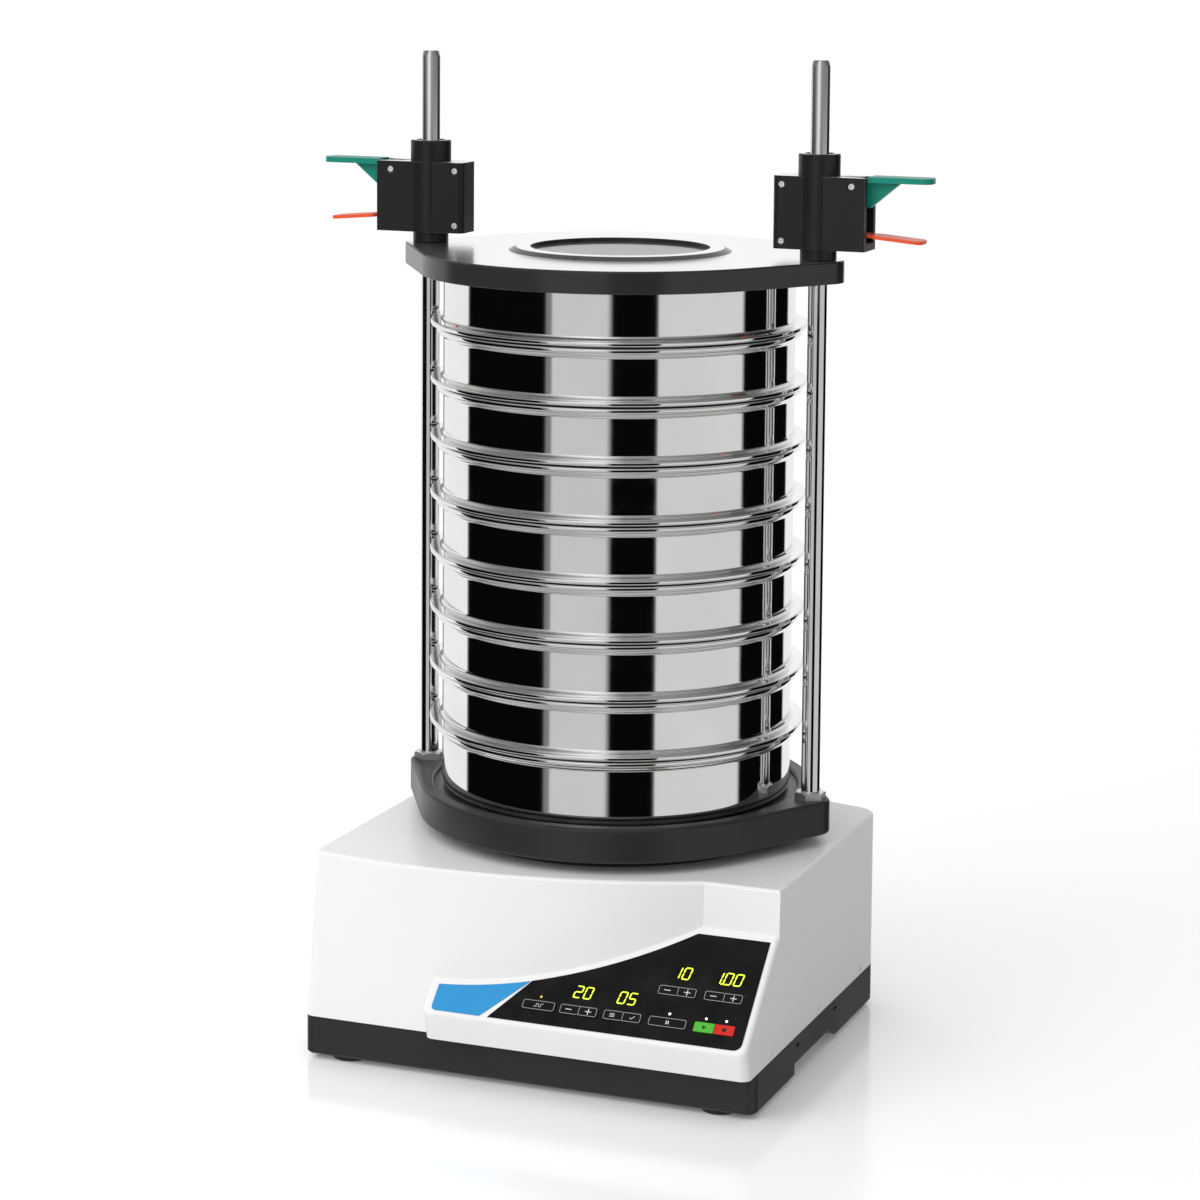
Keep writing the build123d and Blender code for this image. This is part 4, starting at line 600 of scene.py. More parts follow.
def refined(node, material, width, segments=2, angle=30.0):
    """A CAD node's mesh, merged and with its edges softened; it stands for the node."""
    bm = bmesh.new()
    bm.from_mesh(nodes[node].data)
    bmesh.ops.remove_doubles(bm, verts=bm.verts, dist=0.000003)
    bmesh.ops.dissolve_limit(bm, angle_limit=radians(0.6), verts=bm.verts, edges=bm.edges)
    mesh = bpy.data.meshes.new(f"{node}_shape")
    bm.to_mesh(mesh)
    bm.free()
    shaper = bpy.data.objects.new(f"{node}_shaper", mesh)
    scene.collection.objects.link(shaper)
    bevel = shaper.modifiers.new("soft_edges", "BEVEL")
    bevel.width = width
    bevel.segments = segments
    bevel.limit_method = "ANGLE"
    bevel.angle_limit = radians(angle)
    bevel.use_clamp_overlap = True
    weighted = shaper.modifiers.new("flat_faces", "WEIGHTED_NORMAL")
    weighted.keep_sharp = True
    shade(mesh, angle)
    shaped = evaluated(shaper, f"{node}_soft")
    shaped.materials.clear()
    shaped.materials.append(MATERIALS[material])
    show(shaped, nodes[node]["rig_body"], [node])


def softened(points, radius, steps=4):
    """Closed outline with rounded corners; a third number in a point is its own corner radius."""
    outline = []
    corners = [Vector(point[:2]) for point in points]
    for index, corner in enumerate(corners):
        before = corners[index - 1] - corner
        after = corners[(index + 1) % len(corners)] - corner
        if corner.x < 1e-9:
            outline.append(corner)
            continue
        wanted = points[index][2] if len(points[index]) > 2 else radius
        reach = min(wanted, 0.4 * before.length, 0.4 * after.length)
        hold = 1.2 * reach
        start = corner + before.normalized() * reach
        end = corner + after.normalized() * reach
        outline.append(corner + before.normalized() * hold)
        for step in range(steps + 1):
            share = step / steps
            outline.append(start * (1 - share) ** 2 + corner * 2 * share * (1 - share) + end * share**2)
        outline.append(corner + after.normalized() * hold)
    return outline


def lathe(bm, outline):
    """Turn a closed outline of (radius, height) about the stack's axis."""
    turns = [2 * pi * step / TURN_STEPS for step in range(TURN_STEPS)]
    rings = []
    for radius, height in outline:
        if radius < 1e-9:
            rings.append([bm.verts.new((0.0, AXIS_Y, height))])
            continue
        spots = [(radius * cos(angle), AXIS_Y + radius * sin(angle), height) for angle in turns]
        rings.append([bm.verts.new(spot) for spot in spots])
    for index, ring in enumerate(rings):
        join_rings(bm, rings[index - 1], ring)


def join_rings(bm, first, second):
    """Faces between two rings of points, either of which may be a single point."""
    count = max(len(first), len(second))
    if count == 1:
        return
    for step in range(count):
        ahead = (step + 1) % count
        if len(first) == 1:
            bm.faces.new((first[0], second[ahead], second[step]))
        elif len(second) == 1:
            bm.faces.new((first[step], first[ahead], second[0]))
        else:
            bm.faces.new((first[step], first[ahead], second[ahead], second[step]))


def spin(bm, profile, centre, axis=(0.0, 0.0, 1.0), steps=48):
    """Turn a profile of (radius, distance along the axis, depth of six lobes) about an axis."""
    turn = Vector(axis).to_track_quat("Z", "Y")
    rings = []
    for radius, distance, lobe in profile:
        turns = [2 * pi * step / steps for step in range(steps if radius > 1e-9 else 1)]
        reaches = [radius + lobe * cos(6 * angle) for angle in turns]
        spots = [Vector((r * cos(a), r * sin(a), distance)) for r, a in zip(reaches, turns)]
        rings.append([bm.verts.new(Vector(centre) + turn @ spot) for spot in spots])
    for first, second in zip(rings, rings[1:]):
        join_rings(bm, first, second)


def dress(material, *names):
    """Give CAD nodes that keep their own mesh a material."""
    for name in names:
        mesh = nodes[name].data
        mesh.materials.clear()
        mesh.materials.append(MATERIALS[material])


# Sieves and pan


def rolled_rim(top, depth=RIM_DEPTH):
    """Rolled rim of a sieve or the pan, from its inner edge down to the wall."""
    return [
        (SIEVE_RADIUS - SIEVE_WALL, top),
        (RIM_RADIUS, top, 0.2 * depth),
        (RIM_RADIUS, top - 0.5 * depth, 0.2 * depth),
        (SIEVE_RADIUS, top - depth, 0.15 * depth),
    ]


def sieve_outline(joint, rim):
    """Section of one sieve frame: rolled rim, wall, cove, bead and skirt."""
    inner = SIEVE_RADIUS - SIEVE_WALL
    skirt = inner - 0.6 * MM
    bead = joint + JOINT_GAP
    top = joint + SIEVE_PITCH
    return rolled_rim(top, rim) + [
        (SIEVE_RADIUS, bead + COVE_HEIGHT, 2.6 * MM),
        (FLANGE_RADIUS, bead + BEAD_HEIGHT, 1.7 * MM),
        (FLANGE_RADIUS, bead, 1.4 * MM),
        (skirt, bead),
        (skirt - 0.8 * MM, joint - SKIRT_DEPTH),
        (skirt - 0.8 * MM - SIEVE_WALL, joint - SKIRT_DEPTH),
        (skirt - SIEVE_WALL, bead + 1.8 * MM),
        (inner, bead + 2.6 * MM),
    ]


def pan_outline():
    """Section of the collecting pan, with its rolled rim and rounded floor corner."""
    inner = SIEVE_RADIUS - SIEVE_WALL
    return rolled_rim(PAN_JOINT) + [
        (SIEVE_RADIUS, PAN_BOTTOM, PAN_CORNER),
        (0.0, PAN_BOTTOM),
        (0.0, PAN_BOTTOM + SIEVE_WALL),
        (inner, PAN_BOTTOM + SIEVE_WALL, PAN_CORNER - SIEVE_WALL),
    ]


def make_pan():
    """Mirror pan under the sieves."""
    bm = bmesh.new()
    lathe(bm, softened(pan_outline(), SHEET_ROUNDING))
    place("pan_mirror", bm, "pan_unit", "polished_steel", ["collecting_pan"])


def weave_group():
    """Woven sieve mesh: wires both ways, over and under each other, cut to a circle."""
    group = bpy.data.node_groups.new("woven_mesh", "GeometryNodeTree")
    kinds = {"Radius": "Float", "Pitch": "Float", "Wire": "Float"}
    kinds |= {"Centre": "Vector", "Finish": "Material"}
    for label, kind in kinds.items():
        group.interface.new_socket(label, in_out="INPUT", socket_type=f"NodeSocket{kind}")
    group.interface.new_socket("Geometry", in_out="OUTPUT", socket_type="NodeSocketGeometry")
    given = add(group, "NodeGroupInput").outputs
    reach = calc(group, "CEIL", calc(group, "DIVIDE", given["Radius"], given["Pitch"]))
    count = calc(group, "ADD", calc(group, "MULTIPLY", reach, 2.0), 1.0)
    start = calc(group, "MULTIPLY", calc(group, "MULTIPLY", reach, given["Pitch"]), -1.0)
    lines = []
    for axis in ("X", "Y"):
        first = add(group, "ShaderNodeCombineXYZ", {axis: start}).outputs[0]
        step = add(group, "ShaderNodeCombineXYZ", {axis: given["Pitch"]}).outputs[0]
        inputs = {"Count": count, "Start Location": first, "Offset": step}
        lines.append(add(group, "GeometryNodeMeshLine", inputs).outputs[0])
    inputs = {"Points": lines[0], "Instance": lines[1]}
    wires = add(group, "GeometryNodeInstanceOnPoints", inputs).outputs[0]
    wires = add(group, "GeometryNodeRealizeInstances", {"Geometry": wires}).outputs[0]
    wires = bend_wires(group, given, wires)
    across = {"Geometry": wires, "Rotation": (0.0, 0.0, pi / 2), "Scale": (1.0, 1.0, -1.0)}
    weft = add(group, "GeometryNodeTransform", across).outputs[0]
    both = add(group, "GeometryNodeJoinGeometry")
    group.links.new(wires, both.inputs[0])
    group.links.new(weft, both.inputs[0])
    curves = add(group, "GeometryNodeMeshToCurve", {"Mesh": both.outputs[0]}).outputs[0]
    inputs = {"Resolution": WIRE_SIDES, "Radius": given["Wire"]}
    section = add(group, "GeometryNodeCurvePrimitiveCircle", inputs).outputs[0]
    swept = {"Curve": curves, "Profile Curve": section, "Fill Caps": True}
    solid = add(group, "GeometryNodeCurveToMesh", swept).outputs[0]
    inputs = {"Geometry": solid, "Translation": given["Centre"]}
    moved = add(group, "GeometryNodeTransform", inputs).outputs[0]
    whole = add(group, "GeometryNodeRealizeInstances", {"Geometry": moved}).outputs[0]
    dressed = add(group, "GeometryNodeSetMaterial", {"Geometry": whole, "Material": given["Finish"]})
    group.links.new(dressed.outputs[0], add(group, "NodeGroupOutput").inputs[0])
    return group


def bend_wires(group, given, wires):
    """End each wire on the circle and lift it over every second crossing."""
    position = add(group, "GeometryNodeInputPosition").outputs[0]
    spot = add(group, "ShaderNodeSeparateXYZ", {0: position}).outputs
    aside = calc(group, "MULTIPLY", spot[0], spot[0])
    square = calc(group, "SUBTRACT", calc(group, "POWER", given["Radius"], 2.0), aside)
    end = calc(group, "SQRT", calc(group, "MAXIMUM", square, 0.0))
    beyond = calc(group, "SUBTRACT", calc(group, "ABSOLUTE", spot[1]), end)
    past = calc(group, "GREATER_THAN", beyond, given["Pitch"])
    outside = calc(group, "MAXIMUM", past, calc(group, "LESS_THAN", end, MM))
    kept = add(group, "GeometryNodeDeleteGeometry", {"Geometry": wires, "Selection": outside}).outputs[0]
    crossing = calc(group, "DIVIDE", calc(group, "ADD", spot[0], spot[1]), given["Pitch"])
    side = calc(group, "FLOORED_MODULO", calc(group, "ROUND", crossing), 2.0)
    sign = calc(group, "SUBTRACT", calc(group, "MULTIPLY", side, 2.0), 1.0)
    height = calc(group, "MULTIPLY", sign, given["Wire"])
    start = calc(group, "MULTIPLY", end, -1.0)
    held = calc(group, "MAXIMUM", calc(group, "MINIMUM", spot[1], end), start)
    target = add(group, "ShaderNodeCombineXYZ", {0: spot[0], 1: held, 2: height}).outputs[0]
    return add(group, "GeometryNodeSetPosition", {"Geometry": kept, "Position": target}).outputs[0]


WEAVE = weave_group()


def make_mesh(number, joint):
    """Woven mesh of one sieve; the lower the sieve, the finer its mesh."""
    holder = bpy.data.objects.new("weave_holder", bpy.data.meshes.new("weave_holder"))
    scene.collection.objects.link(holder)
    weave = holder.modifiers.new("weave", "NODES")
    weave.node_group = WEAVE
    pitch = MESH_PITCHES[number - 1] * MM
    wanted = {"Radius": MESH_RADIUS, "Pitch": pitch, "Wire": WIRE_SHARE * pitch}
    wanted["Centre"] = (0.0, AXIS_Y, joint + MESH_LIFT)
    wanted["Finish"] = MATERIALS["woven_wire"]
    for item in WEAVE.interface.items_tree:
        if item.in_out == "INPUT":
            weave[item.identifier] = wanted[item.name]
    mesh = evaluated(holder, f"sieve_{number}_mesh")
    shade(mesh, 60.0)
    show(mesh, f"sieve_unit_{number}")


def make_sieve(number):
    """Mirror frame, woven mesh and black seal of one sieve."""
    joint = PAN_JOINT + (SIEVE_COUNT - number) * SIEVE_PITCH
    body = f"sieve_unit_{number}"
    rim = TOP_RIM_DEPTH if number == 1 else RIM_DEPTH
    bm = bmesh.new()
    lathe(bm, softened(sieve_outline(joint, rim), SHEET_ROUNDING))
    place(f"sieve_{number}_frame", bm, body, "polished_steel", [f"sieve_{number}"])
    bm = bmesh.new()
    low, high = joint + 0.3 * MM, joint + JOINT_GAP
    inner, outer = SEAL_RADIUS - SEAL_THICKNESS / 2, SEAL_RADIUS + SEAL_THICKNESS / 2
    lathe(bm, softened([(inner, low), (outer, low), (outer, high), (inner, high)], 0.5 * MM, 2))
    place(f"sieve_{number}_seal", bm, body, "black_rubber")
    make_mesh(number, joint)


make_pan()
for sieve_number in range(1, SIEVE_COUNT + 1):
    make_sieve(sieve_number)


# Rods, nuts, screws and the soft pieces of the drive


def make_rods():
    """Two smooth rods with tapered tops, and their hexagon nuts with turned corners."""
    profile = [
        (0.0, ROD_LOW.z, 0.0),
        (ROD_RADIUS, ROD_LOW.z, 0.0),
        (ROD_RADIUS, ROD_HIGH.z - ROD_TAPER, 0.0),
        (ROD_TIP_RADIUS, ROD_HIGH.z - ROD_CHAMFER, 0.0),
        (ROD_TIP_RADIUS - ROD_CHAMFER, ROD_HIGH.z, 0.0),
        (0.0, ROD_HIGH.z, 0.0),
    ]
    bm = bmesh.new()
    for side in (-1, 1):
        spin(bm, profile, (side * ROD_X, AXIS_Y, 0.0), steps=96)
    place("rods", bm, "drive", "rod_steel", ["support_rods"])
    bm = bmesh.new()
    for side in (-1, 1):
        hexagon_nut(bm, side * ROD_X)
    place("nuts", bm, "drive", "zinc_steel", ["rod_nuts"], angle=12.0)


def hexagon_nut(bm, x, steps=72):
    """Hexagon nut round a rod, its top corners turned down."""
    low, high = PLATE_HIGH.z, PLATE_HIGH.z + NUT_HEIGHT
    turns = [2 * pi * step / steps for step in range(steps)]
    reaches = [NUT_HALF / cos((angle + pi / 6) % (pi / 3) - pi / 6) for angle in turns]
    inner = [ROD_RADIUS + NUT_CLEARANCE] * steps
    chamfer = [high - 0.6 * max(0.0, reach - NUT_CROWN) for reach in reaches]
    rings = []
    for radii, heights in (
        (inner, [low] * steps),
        (reaches, [low] * steps),
        (reaches, chamfer),
        ([NUT_CROWN] * steps, [high] * steps),
        (inner, [high] * steps),
    ):
        spots = zip(radii, turns, heights)
        rings.append([bm.verts.new((x + r * cos(a), AXIS_Y + r * sin(a), z)) for r, a, z in spots])
    for index, ring in enumerate(rings):
        join_rings(bm, rings[index - 1], ring)


def screw(bm, centre, axis, head, height, shank, length):
    """Button-head screw with a six-lobed socket; centre is the middle of its outer face."""
    socket = 0.42 * head
    lobe = 0.16 * socket
    profile = [
        (0.0, -length, 0.0),
        (shank, -length, 0.0),
        (shank, -height, 0.0),
        (head, -height, 0.0),
        (head, -0.45 * height, 0.0),
        (0.93 * head, -0.18 * height, 0.0),
        (0.78 * head, -0.04 * height, 0.0),
        (0.62 * head, 0.0, 0.0),
        (1.12 * socket, 0.0, lobe),
        (socket, -0.06 * height, lobe),
        (socket, -0.55 * height, lobe),
        (0.0, -0.62 * height, 0.0),
    ]
    spin(bm, profile, centre, axis, steps=60)


def make_screws():
    """Housing screws, and the screws and lever pin of each clamp."""
    bm = bmesh.new()
    for side in (-1, 1):
        for y in SIDE_SCREW_YS:
            face = (side * (HOUSING_HIGH.x + HOUSING_SCREW[1]), y, SIDE_SCREW_Z)
            screw(bm, face, (side, 0.0, 0.0), *HOUSING_SCREW)
    place("side_screws", bm, "base", "screw_steel", ["housing_screws"])
    for label, side in (("left", -1), ("right", 1)):
        node = f"clamp_fasteners_{label}"
        low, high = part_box(f"clamp_housing_{label}")
        top, foot = high.z - SCREW_DROP, low.z + SCREW_RISE
        bm = bmesh.new()
        for out, z in ((CLAMP_IN, top), (CLAMP_IN, foot), (CLAMP_OUT, top)):
            face = (side * (ROD_X + out), AXIS_Y - CLAMP_FRONT, z)
            screw(bm, face, (0.0, -1.0, 0.0), *CLAMP_SCREW)
        lever_pin(bm, (side * (ROD_X + CLAMP_OUT), AXIS_Y, high.z - PIN_DROP))
        place(f"clamp_screws_{label}", bm, f"clamp_{label}", "screw_steel", [node])


def lever_pin(bm, middle):
    """Pin that a squeeze lever swings on, with chamfered ends."""
    flank = (PIN_RADIUS, PIN_HALF - PIN_CHAMFER)
    nose = (PIN_RADIUS - PIN_CHAMFER, PIN_HALF)
    half = [flank, nose, (0.0, PIN_HALF)]
    profile = [(radius, -distance, 0.0) for radius, distance in reversed(half)]
    profile += [(radius, distance, 0.0) for radius, distance in half]
    spin(bm, profile, middle, (0.0, 1.0, 0.0))


def make_boot():
    """Folded rubber boot that stretches from the housing to the sieve plate."""
    low, high = [corner.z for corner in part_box("rubber_boot")]
    fold = (BOOT_RADIUS + BOOT_FOLD, (low + high) / 2, 2.4 * MM)
    outer = [(BOOT_RADIUS, low), fold, (BOOT_RADIUS, high)]
    inner = [(point[0] - BOOT_WALL, point[1]) for point in reversed(outer)]
    bm = bmesh.new()
    lathe(bm, softened(outer + inner, 0.5 * MM))
    ends = (low, high)
    place("boot_fold", bm, None, "black_rubber", ["rubber_boot"], stretched=ends)


def make_springs():
    """Waisted rubber springs that stretch from the counter-mass to the carrier."""
    low, high = [corner.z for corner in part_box("drive_springs")]
    half = (high - low) / 2
    flank = []
    for step in range(13):
        share = step / 6.0 - 1.0
        radius = SPRING_WAIST + (SPRING_RADIUS - SPRING_WAIST) * share * share
        flank.append((radius, low + half + share * (half - SPRING_END), 0.0))
    foot = [(0.0, low, 0.0), (SPRING_RADIUS, low, 0.0)]
    head = [(SPRING_RADIUS, high, 0.0), (0.0, high, 0.0)]
    bm = bmesh.new()
    for number in range(SPRING_COUNT):
        turn = 2 * pi * number / SPRING_COUNT
        centre = (SPRING_RING * cos(turn), AXIS_Y + SPRING_RING * sin(turn), 0.0)
        spin(bm, foot + flank + head, centre)
    ends = (low, high)
    place("soft_springs", bm, None, "black_rubber", ["drive_springs"], stretched=ends)


make_rods()
make_screws()
make_boot()
make_springs()


# Prints on the keys, and the lit figures and lamps


def on_console(x, run, height):
    """Point over the console: x across, run down the slope, height along its normal."""
    down = Vector((0.0, -cos(CONSOLE_SLOPE), -sin(CONSOLE_SLOPE)))
    normal = Vector((0.0, -sin(CONSOLE_SLOPE), cos(CONSOLE_SLOPE)))
    return CONSOLE_TOP + Vector((x, 0.0, 0.0)) + down * run + normal * height


def patch(bm, outline, low, thickness=PRINT_THICKNESS):
    """Thin shape lying on the console, from an outline of (x, run) points."""
    feet = [bm.verts.new(on_console(x, run, low)) for x, run in outline]
    tops = [bm.verts.new(on_console(x, run, low + thickness)) for x, run in outline]
    bm.faces.new(feet)
    bm.faces.new(tops)
    for index, foot in enumerate(feet):
        bm.faces.new((feet[index - 1], foot, tops[index], tops[index - 1]))


def ribbon(bm, path, width, low):
    """Printed line of even width along a path of (x, run) points."""
    right, left = [], []
    for index, point in enumerate(path):
        before = Vector(path[max(index - 1, 0)])
        after = Vector(path[min(index + 1, len(path) - 1)])
        along = (after - before).normalized() * width / 2
        right.append((point[0] - along.y, point[1] + along.x))
        left.append((point[0] + along.y, point[1] - along.x))
    patch(bm, right + left[::-1], low)


def slab(bm, x, run, wide, tall):
    """Printed rectangle about a point of a key."""
    outline = [(x - wide / 2, run - tall / 2), (x + wide / 2, run - tall / 2)]
    outline += [(x + wide / 2, run + tall / 2), (x - wide / 2, run + tall / 2)]
    patch(bm, outline, KEY_TOP)


def half_border(bm, end, side, row):
    """Printed border of a key from one end, round the side with rounded corners, and back."""
    top, foot = row - KEY_HALF_HEIGHT + BORDER_INSET, row + KEY_HALF_HEIGHT - BORDER_INSET
    reach = PRINT_CORNER if end > side else -PRINT_CORNER
    path = [(end, top)]
    for middle, start in ((top + PRINT_CORNER, 0.0), (foot - PRINT_CORNER, pi / 2)):
        for step in range(7):
            angle = start + step * pi / 12
            path.append((side + reach * (1 - sin(angle)), middle - PRINT_CORNER * cos(angle)))
    path.append((end, foot))
    ribbon(bm, path, PRINT_LINE, KEY_TOP)


def minus_sign(bm, x, run):
    """Short level line."""
    slab(bm, x, run, 5.6 * MM, 0.6 * MM)


def plus_sign(bm, x, run):
    """Cross of two equal lines."""
    arm, half = 2.8 * MM, 0.3 * MM
    quarter = [(half, -arm), (half, -half), (arm, -half)]
    outline = []
    for _ in range(4):
        outline += [(x + a, run + b) for a, b in quarter]
        quarter = [(-b, a) for a, b in quarter]
    patch(bm, outline, KEY_TOP)


def list_sign(bm, x, run):
    """Three level lines, one under another."""
    for step in (-1, 0, 1):
        slab(bm, x, run + step * 1.3 * MM, 4.4 * MM, PRINT_LINE)


def tick_sign(bm, x, run):
    """Tick."""
    path = [(-1.9, 0.2), (-0.6, 1.5), (2.1, -1.4)]
    ribbon(bm, [(x + a * MM, run + b * MM) for a, b in path], 0.45 * MM, KEY_TOP)


def pulse_sign(bm, x, run):
    """Square wave."""
    path = [(-4.1, 1.3), (-2.1, 1.3), (-2.0, -1.3), (-0.1, -1.3)]
    path += [(0.0, 1.3), (1.9, 1.3), (2.0, -1.3), (3.9, -1.3)]
    ribbon(bm, [(x + a * MM, run + b * MM) for a, b in path], PRINT_LINE, KEY_TOP)


def pause_sign(bm, x, run):
    """Two upright bars."""
    for side in (-1, 1):
        slab(bm, x + side * 0.85 * MM, run, 0.8 * MM, 3.2 * MM)


def play_sign(bm, x, run):
    """Triangle that points right."""
    patch(bm, [(x + a * MM, run + b * MM) for a, b in ((-1.4, -1.9), (2.0, 0.0), (-1.4, 1.9))], KEY_TOP)


def stop_sign(bm, x, run):
    """Square."""
    slab(bm, x, run, 3.2 * MM, 3.2 * MM)


SINGLE, FIRST, SECOND = "single", "first", "second"
PRINTS = {
    "interval_key": (SINGLE, KEY_ROW_LOW, pulse_sign),
    "interval_minus_key": (FIRST, KEY_ROW_LOW, minus_sign),
    "interval_plus_key": (SECOND, KEY_ROW_LOW, plus_sign),
    "program_key": (FIRST, KEY_ROW_LOW, list_sign),
    "set_key": (SECOND, KEY_ROW_LOW, tick_sign),
    "pause_key": (SINGLE, KEY_ROW_LOW, pause_sign),
    "start_key": (None, KEY_ROW_LOW, play_sign),
    "stop_key": (None, KEY_ROW_LOW, stop_sign),
    "time_minus_key": (FIRST, KEY_ROW_HIGH, minus_sign),
    "time_plus_key": (SECOND, KEY_ROW_HIGH, plus_sign),
    "amplitude_minus_key": (FIRST, KEY_ROW_HIGH, minus_sign),
    "amplitude_plus_key": (SECOND, KEY_ROW_HIGH, plus_sign),
}


def make_print(node):
    """Border and sign of one key; a pair of keys shares one border with a line between them."""
    border, row, sign = PRINTS[node]
    low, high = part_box(node)
    middle = (low.x + high.x) / 2
    body = nodes[node]["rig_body"]
    if border is not None:
        first, second = low.x + PRINT_INSET, high.x - PRINT_INSET
        bm = bmesh.new()
        if border == FIRST:
            half_border(bm, high.x, first, row)
        elif border == SECOND:
            half_border(bm, low.x, second, row)
            divider = low.x + PRINT_LINE / 2
            reach = KEY_HALF_HEIGHT - BORDER_INSET - PRINT_LINE / 2
            ribbon(bm, [(divider, row - reach), (divider, row + reach)], PRINT_LINE, KEY_TOP)
        else:
            half_border(bm, middle, first, row)
            half_border(bm, middle, second, row)
        place(f"{node}_border", bm, body, "key_print")
    bm = bmesh.new()
    sign(bm, middle, row)
    place(f"{node}_sign", bm, body, "key_symbol" if border else "dark_symbol")


SEGMENT_ENDS = {
    "a": ((0, 0), (1, 0)),
    "b": ((1, 0), (1, 1)),
    "c": ((1, 1), (1, 2)),
    "d": ((0, 2), (1, 2)),
    "e": ((0, 1), (0, 2)),
    "f": ((0, 0), (0, 1)),
    "g": ((0, 1), (1, 1)),
}
FIGURES = {"0": "abcdef", "1": "bc", "2": "abdeg", "5": "acdfg"}


def figure(bm, character, left, top):
    """One slanted seven-segment figure."""
    half = DIGIT_STROKE / 2
    for name in FIGURES[character]:
        start, end = [Vector((a * DIGIT_WIDTH, b * DIGIT_HEIGHT / 2)) for a, b in SEGMENT_ENDS[name]]
        along = (end - start).normalized()
        across = Vector((-along.y, along.x)) * half
        start += along * DIGIT_GAP
        end -= along * DIGIT_GAP
        bar = [start, start + along * half + across, end - along * half + across]
        bar += [end, end - along * half - across, start + along * half - across]
        lean = [(left + p.x + (DIGIT_HEIGHT - p.y) * DIGIT_SLANT, top + p.y) for p in bar]
        patch(bm, lean, FOIL_TOP, LIGHT_THICKNESS)


def make_figures():
    """Lit figures of the four displays, set to the right of their windows."""
    bm = bmesh.new()
    for right, row, text in DISPLAYS:
        top = row - DIGIT_HEIGHT / 2
        left = right - DIGIT_WIDTH - DIGIT_SLANT * DIGIT_HEIGHT
        for character in reversed(text):
            if character == ".":
                dot = left + DIGIT_WIDTH + 1.7 * MM
                spot = [(-0.6, -1.2), (0.6, -1.2), (0.6, 0.0), (-0.6, 0.0)]
                outline = [(dot + a * MM, top + DIGIT_HEIGHT + (0.6 + b) * MM) for a, b in spot]
                patch(bm, outline, FOIL_TOP, LIGHT_THICKNESS)
                continue
            figure(bm, character, left, top)
            left -= DIGIT_PITCH
    place("lit_figures", bm, "base", "digit_light")


def make_lamps():
    """Round indicator lamps; the one over the interval key is off and shows a faint painted glow."""
    turns = [2 * pi * step / LAMP_SIDES for step in range(LAMP_SIDES)]
    circle = [(LAMP_RADIUS * cos(angle), LAMP_RADIUS * sin(angle)) for angle in turns]
    for name, material, places in (
        ("lit_lamps", "lamp_light", LAMPS[1:]),
        ("resting_lamp", "off_lamp_painted_glow", LAMPS[:1]),
    ):
        bm = bmesh.new()
        for x in places:
            patch(bm, [(x + a, LAMP_ROW + b) for a, b in circle], FOIL_TOP, LIGHT_THICKNESS)
        place(name, bm, "base", material)


for key_name in PRINTS:
    make_print(key_name)
make_figures()
make_lamps()


# Plates, clamps and housing

refined("sieve_plate", "black_coated_aluminium", 0.8 * MM)
refined("cover_plate", "cover_lacquer_painted_glare", 0.6 * MM, angle=14.0)
for side in ("left", "right"):
    refined(f"clamp_housing_{side}", "dark_nylon", 0.5 * MM)
    refined(f"squeeze_lever_{side}", "green_lever", 0.5 * MM)
    refined(f"release_lever_{side}", "orange_lever", 0.4 * MM)
    refined(f"clamp_bushes_{side}", "dark_nylon", 0.4 * MM)
    dress("zinc_steel", f"jam_plate_{side}", f"jam_spring_{side}", f"release_spring_{side}")

dress("white_housing", "housing_shell")
dress("black_moulding", "base_tray", "mains_inlet", "mains_switch")
dress("black_rubber", "rubber_feet", "rubber_buffers")
dress("black_foil", "keypad_foil")
dress("blue_plate", "label_plate")
dress("board", "control_board")
dress("display_window", "display_modules")
dress("cast_mass", "reaction_mass")
dress("cast_aluminium", "drive_carrier")
dress("core_steel", "magnet_core", "armature")
dress("copper_coil", "magnet_coil")
dress("clear_window", "cover_window")
for key_name in PRINTS:
    dress({"start_key": "green_key", "stop_key": "red_key"}.get(key_name, "black_key"), key_name)


# Studio

# What polished steel shows: softboxes and gaps between them, by turn in degrees from the camera's side
BANDS = (
    (-180.0, 0.90),
    (-115.8, 0.002),
    (-48.6, 0.20),
    (-44.4, 0.60),
    (-6.9, 0.20),
    (-5.0, 0.002),
    (24.5, 0.66),
    (87.1, 0.002),
    (142.2, 0.90),
)
BAND_BLUR = 0.8
BELOW_LEVEL = (0.15, 0.15, 0.15)
FLOOR_LEVEL = (0.48, 0.48, 0.48)
FRONT_LIGHT = 0.28
RIGHT_LIGHT = -0.62
FLOOR_HALF = 40.0

# Overhead light that coves and rims show, by turn too
OVERHEAD = (
    (-180.0, 1.0),
    (-120.0, 0.35),
    (-92.0, 0.15),
    (-60.0, 0.25),
    (-34.0, 0.80),
    (-16.0, 1.0),
    (4.0, 0.35),
    (70.0, 0.20),
    (95.0, 0.08),
    (120.0, 0.20),
    (150.0, 0.7),
    (180.0, 1.0),
)


def turn_ramp(tree, share, stops):
    """Grey level by turn, from (degrees, level) stops."""
    ramp = add(tree, "ShaderNodeValToRGB", {"Fac": share})
    elements = ramp.color_ramp.elements
    elements.remove(elements[1])
    elements[0].position = 0.0
    elements[0].color = (stops[0][1],) * 3 + (1.0,)
    for turn, level in stops[1:]:
        elements.new((turn + 180.0) / 360.0).color = (level, level, level, 1.0)
    return ramp.outputs[0]


def level_share(tree, parts, x, y):
    """How far a direction points along the level direction x, y."""
    return calc(tree, "ADD", calc(tree, "MULTIPLY", parts[0], x), calc(tree, "MULTIPLY", parts[1], y))


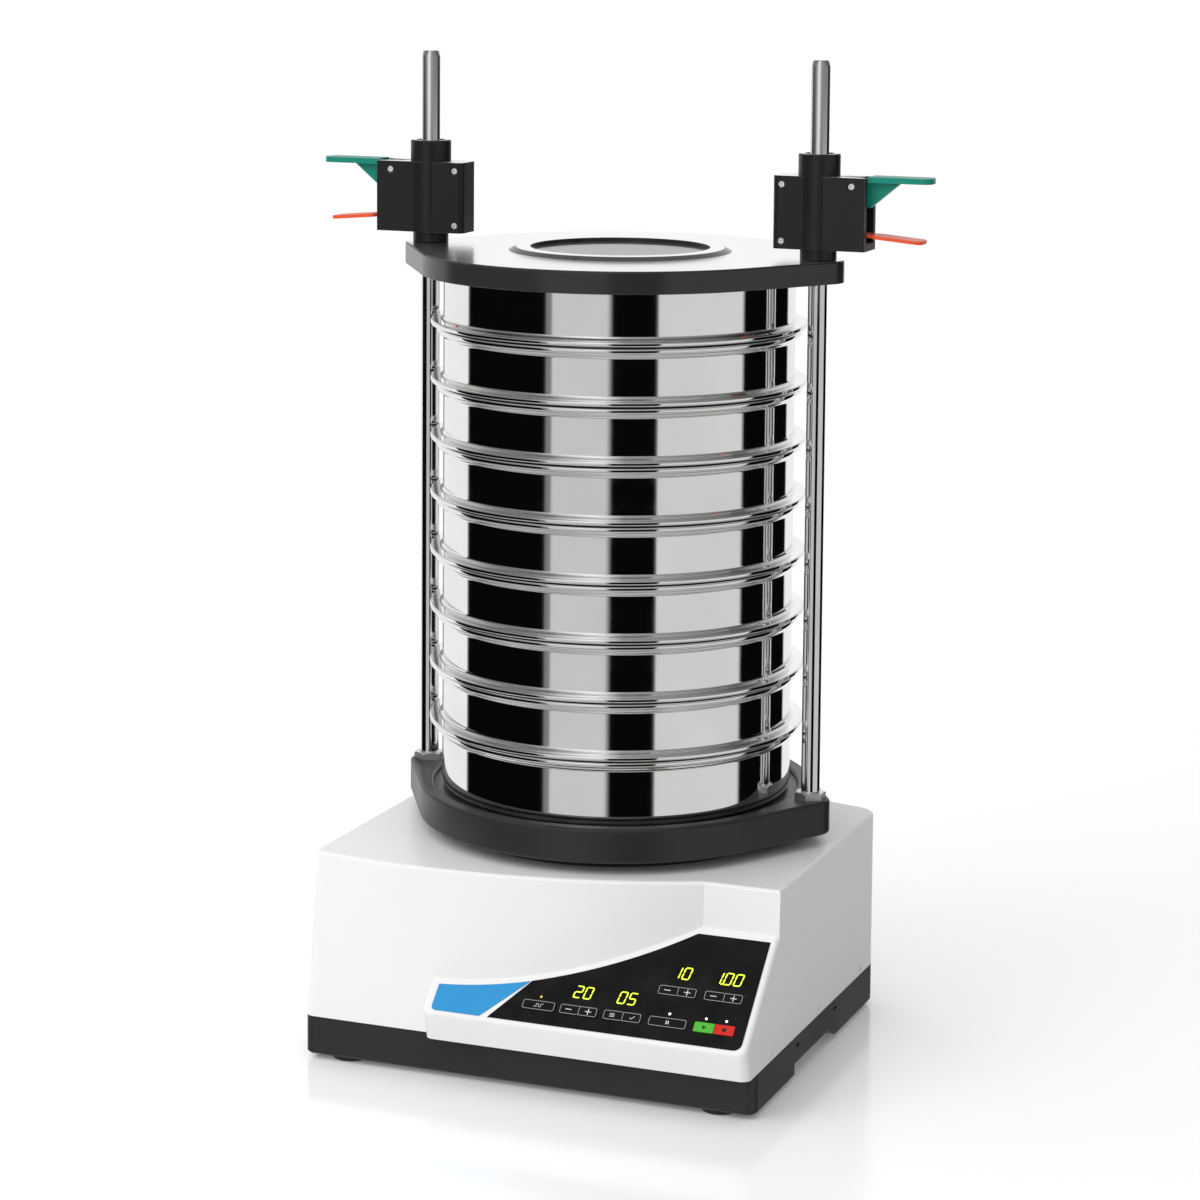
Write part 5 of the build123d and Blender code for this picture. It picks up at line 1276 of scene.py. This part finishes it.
def make_world():
    """White to the camera, softboxes to polished metal, even light to matt surfaces."""
    world = bpy.data.worlds.new("studio")
    scene.world = world
    world.use_nodes = True
    tree = world.node_tree
    background = tree.nodes["Background"]
    direction = add(tree, "ShaderNodeTexCoord").outputs["Generated"]
    parts = add(tree, "ShaderNodeSeparateXYZ", {0: direction}).outputs
    front_x, front_y = sin(CAMERA_AZIMUTH), -cos(CAMERA_AZIMUTH)
    ahead = level_share(tree, parts, front_x, front_y)
    aside = level_share(tree, parts, -front_y, front_x)
    share = stretch(tree, calc(tree, "ARCTAN2", aside, ahead), -pi, pi)
    edges = [BANDS[0]]
    for before, after in zip(BANDS, BANDS[1:]):
        edges += [(after[0] - BAND_BLUR, before[1]), (after[0] + BAND_BLUR, after[1])]
    bands = turn_ramp(tree, share, edges)
    low = mix(tree, stretch(tree, parts[2], -0.42, -0.52), bands, BELOW_LEVEL)
    floor = mix(tree, stretch(tree, parts[2], -0.52, -0.68), low, FLOOR_LEVEL)
    mirrored = mix(tree, stretch(tree, parts[2], 0.04, 0.16), floor, turn_ramp(tree, share, OVERHEAD))
    fall = stretch(tree, parts[2], -0.2, 1.0, 0.66, 1.04)
    from_front = calc(tree, "MULTIPLY", ahead, FRONT_LIGHT)
    from_right = calc(tree, "MULTIPLY", aside, RIGHT_LIGHT)
    soft = calc(tree, "ADD", fall, calc(tree, "ADD", from_front, from_right))
    light = add(tree, "ShaderNodeLightPath").outputs
    even = add(tree, "ShaderNodeCombineColor", {0: soft, 1: soft, 2: soft}).outputs[0]
    seen = mix(tree, light["Is Glossy Ray"], even, mirrored)
    through = calc(tree, "MAXIMUM", light["Is Camera Ray"], light["Is Transmission Ray"])
    tree.links.new(mix(tree, through, seen, (1.0, 1.0, 1.0)), background.inputs["Color"])


def make_floor():
    """Plain white floor that keeps the object's shadow and a faint reflection."""
    bm = bmesh.new()
    bmesh.ops.create_grid(bm, x_segments=1, y_segments=1, size=FLOOR_HALF)
    mesh = bpy.data.meshes.new("studio_floor")
    bm.to_mesh(mesh)
    bm.free()
    floor = bpy.data.objects.new("studio_floor", mesh)
    scene.collection.objects.link(floor)
    material, tree, shader = new_material("studio_floor")
    camera_ray = add(tree, "ShaderNodeLightPath").outputs["Is Camera Ray"]
    shader.inputs["Base Color"].default_value = (0.95, 0.95, 0.95, 1.0)
    shader.inputs["Roughness"].default_value = 0.15
    shader.inputs["IOR"].default_value = 1.8
    shader.inputs["Emission Color"].default_value = (1.0, 1.0, 1.0, 1.0)
    tree.links.new(calc(tree, "MULTIPLY", camera_ray, 0.10), shader.inputs["Emission Strength"])
    mesh.materials.append(material)
    floor.visible_glossy = False


def softbox(name, place_at, aim, size, power):
    """Large soft lamp that mirrors don't show."""
    data = bpy.data.lights.new(name, "AREA")
    data.shape = "RECTANGLE"
    data.size, data.size_y = size
    data.energy = power
    lamp = bpy.data.objects.new(name, data)
    scene.collection.objects.link(lamp)
    lamp.location = place_at
    lamp.rotation_mode = "QUATERNION"
    lamp.rotation_quaternion = (Vector(place_at) - Vector(aim)).to_track_quat("Z", "Y")
    lamp.visible_glossy = False


make_world()
make_floor()
softbox("front_softbox", (-1.6, -2.4, 2.2), (0.0, 0.0, 0.3), (1.6, 1.6), 18.0)
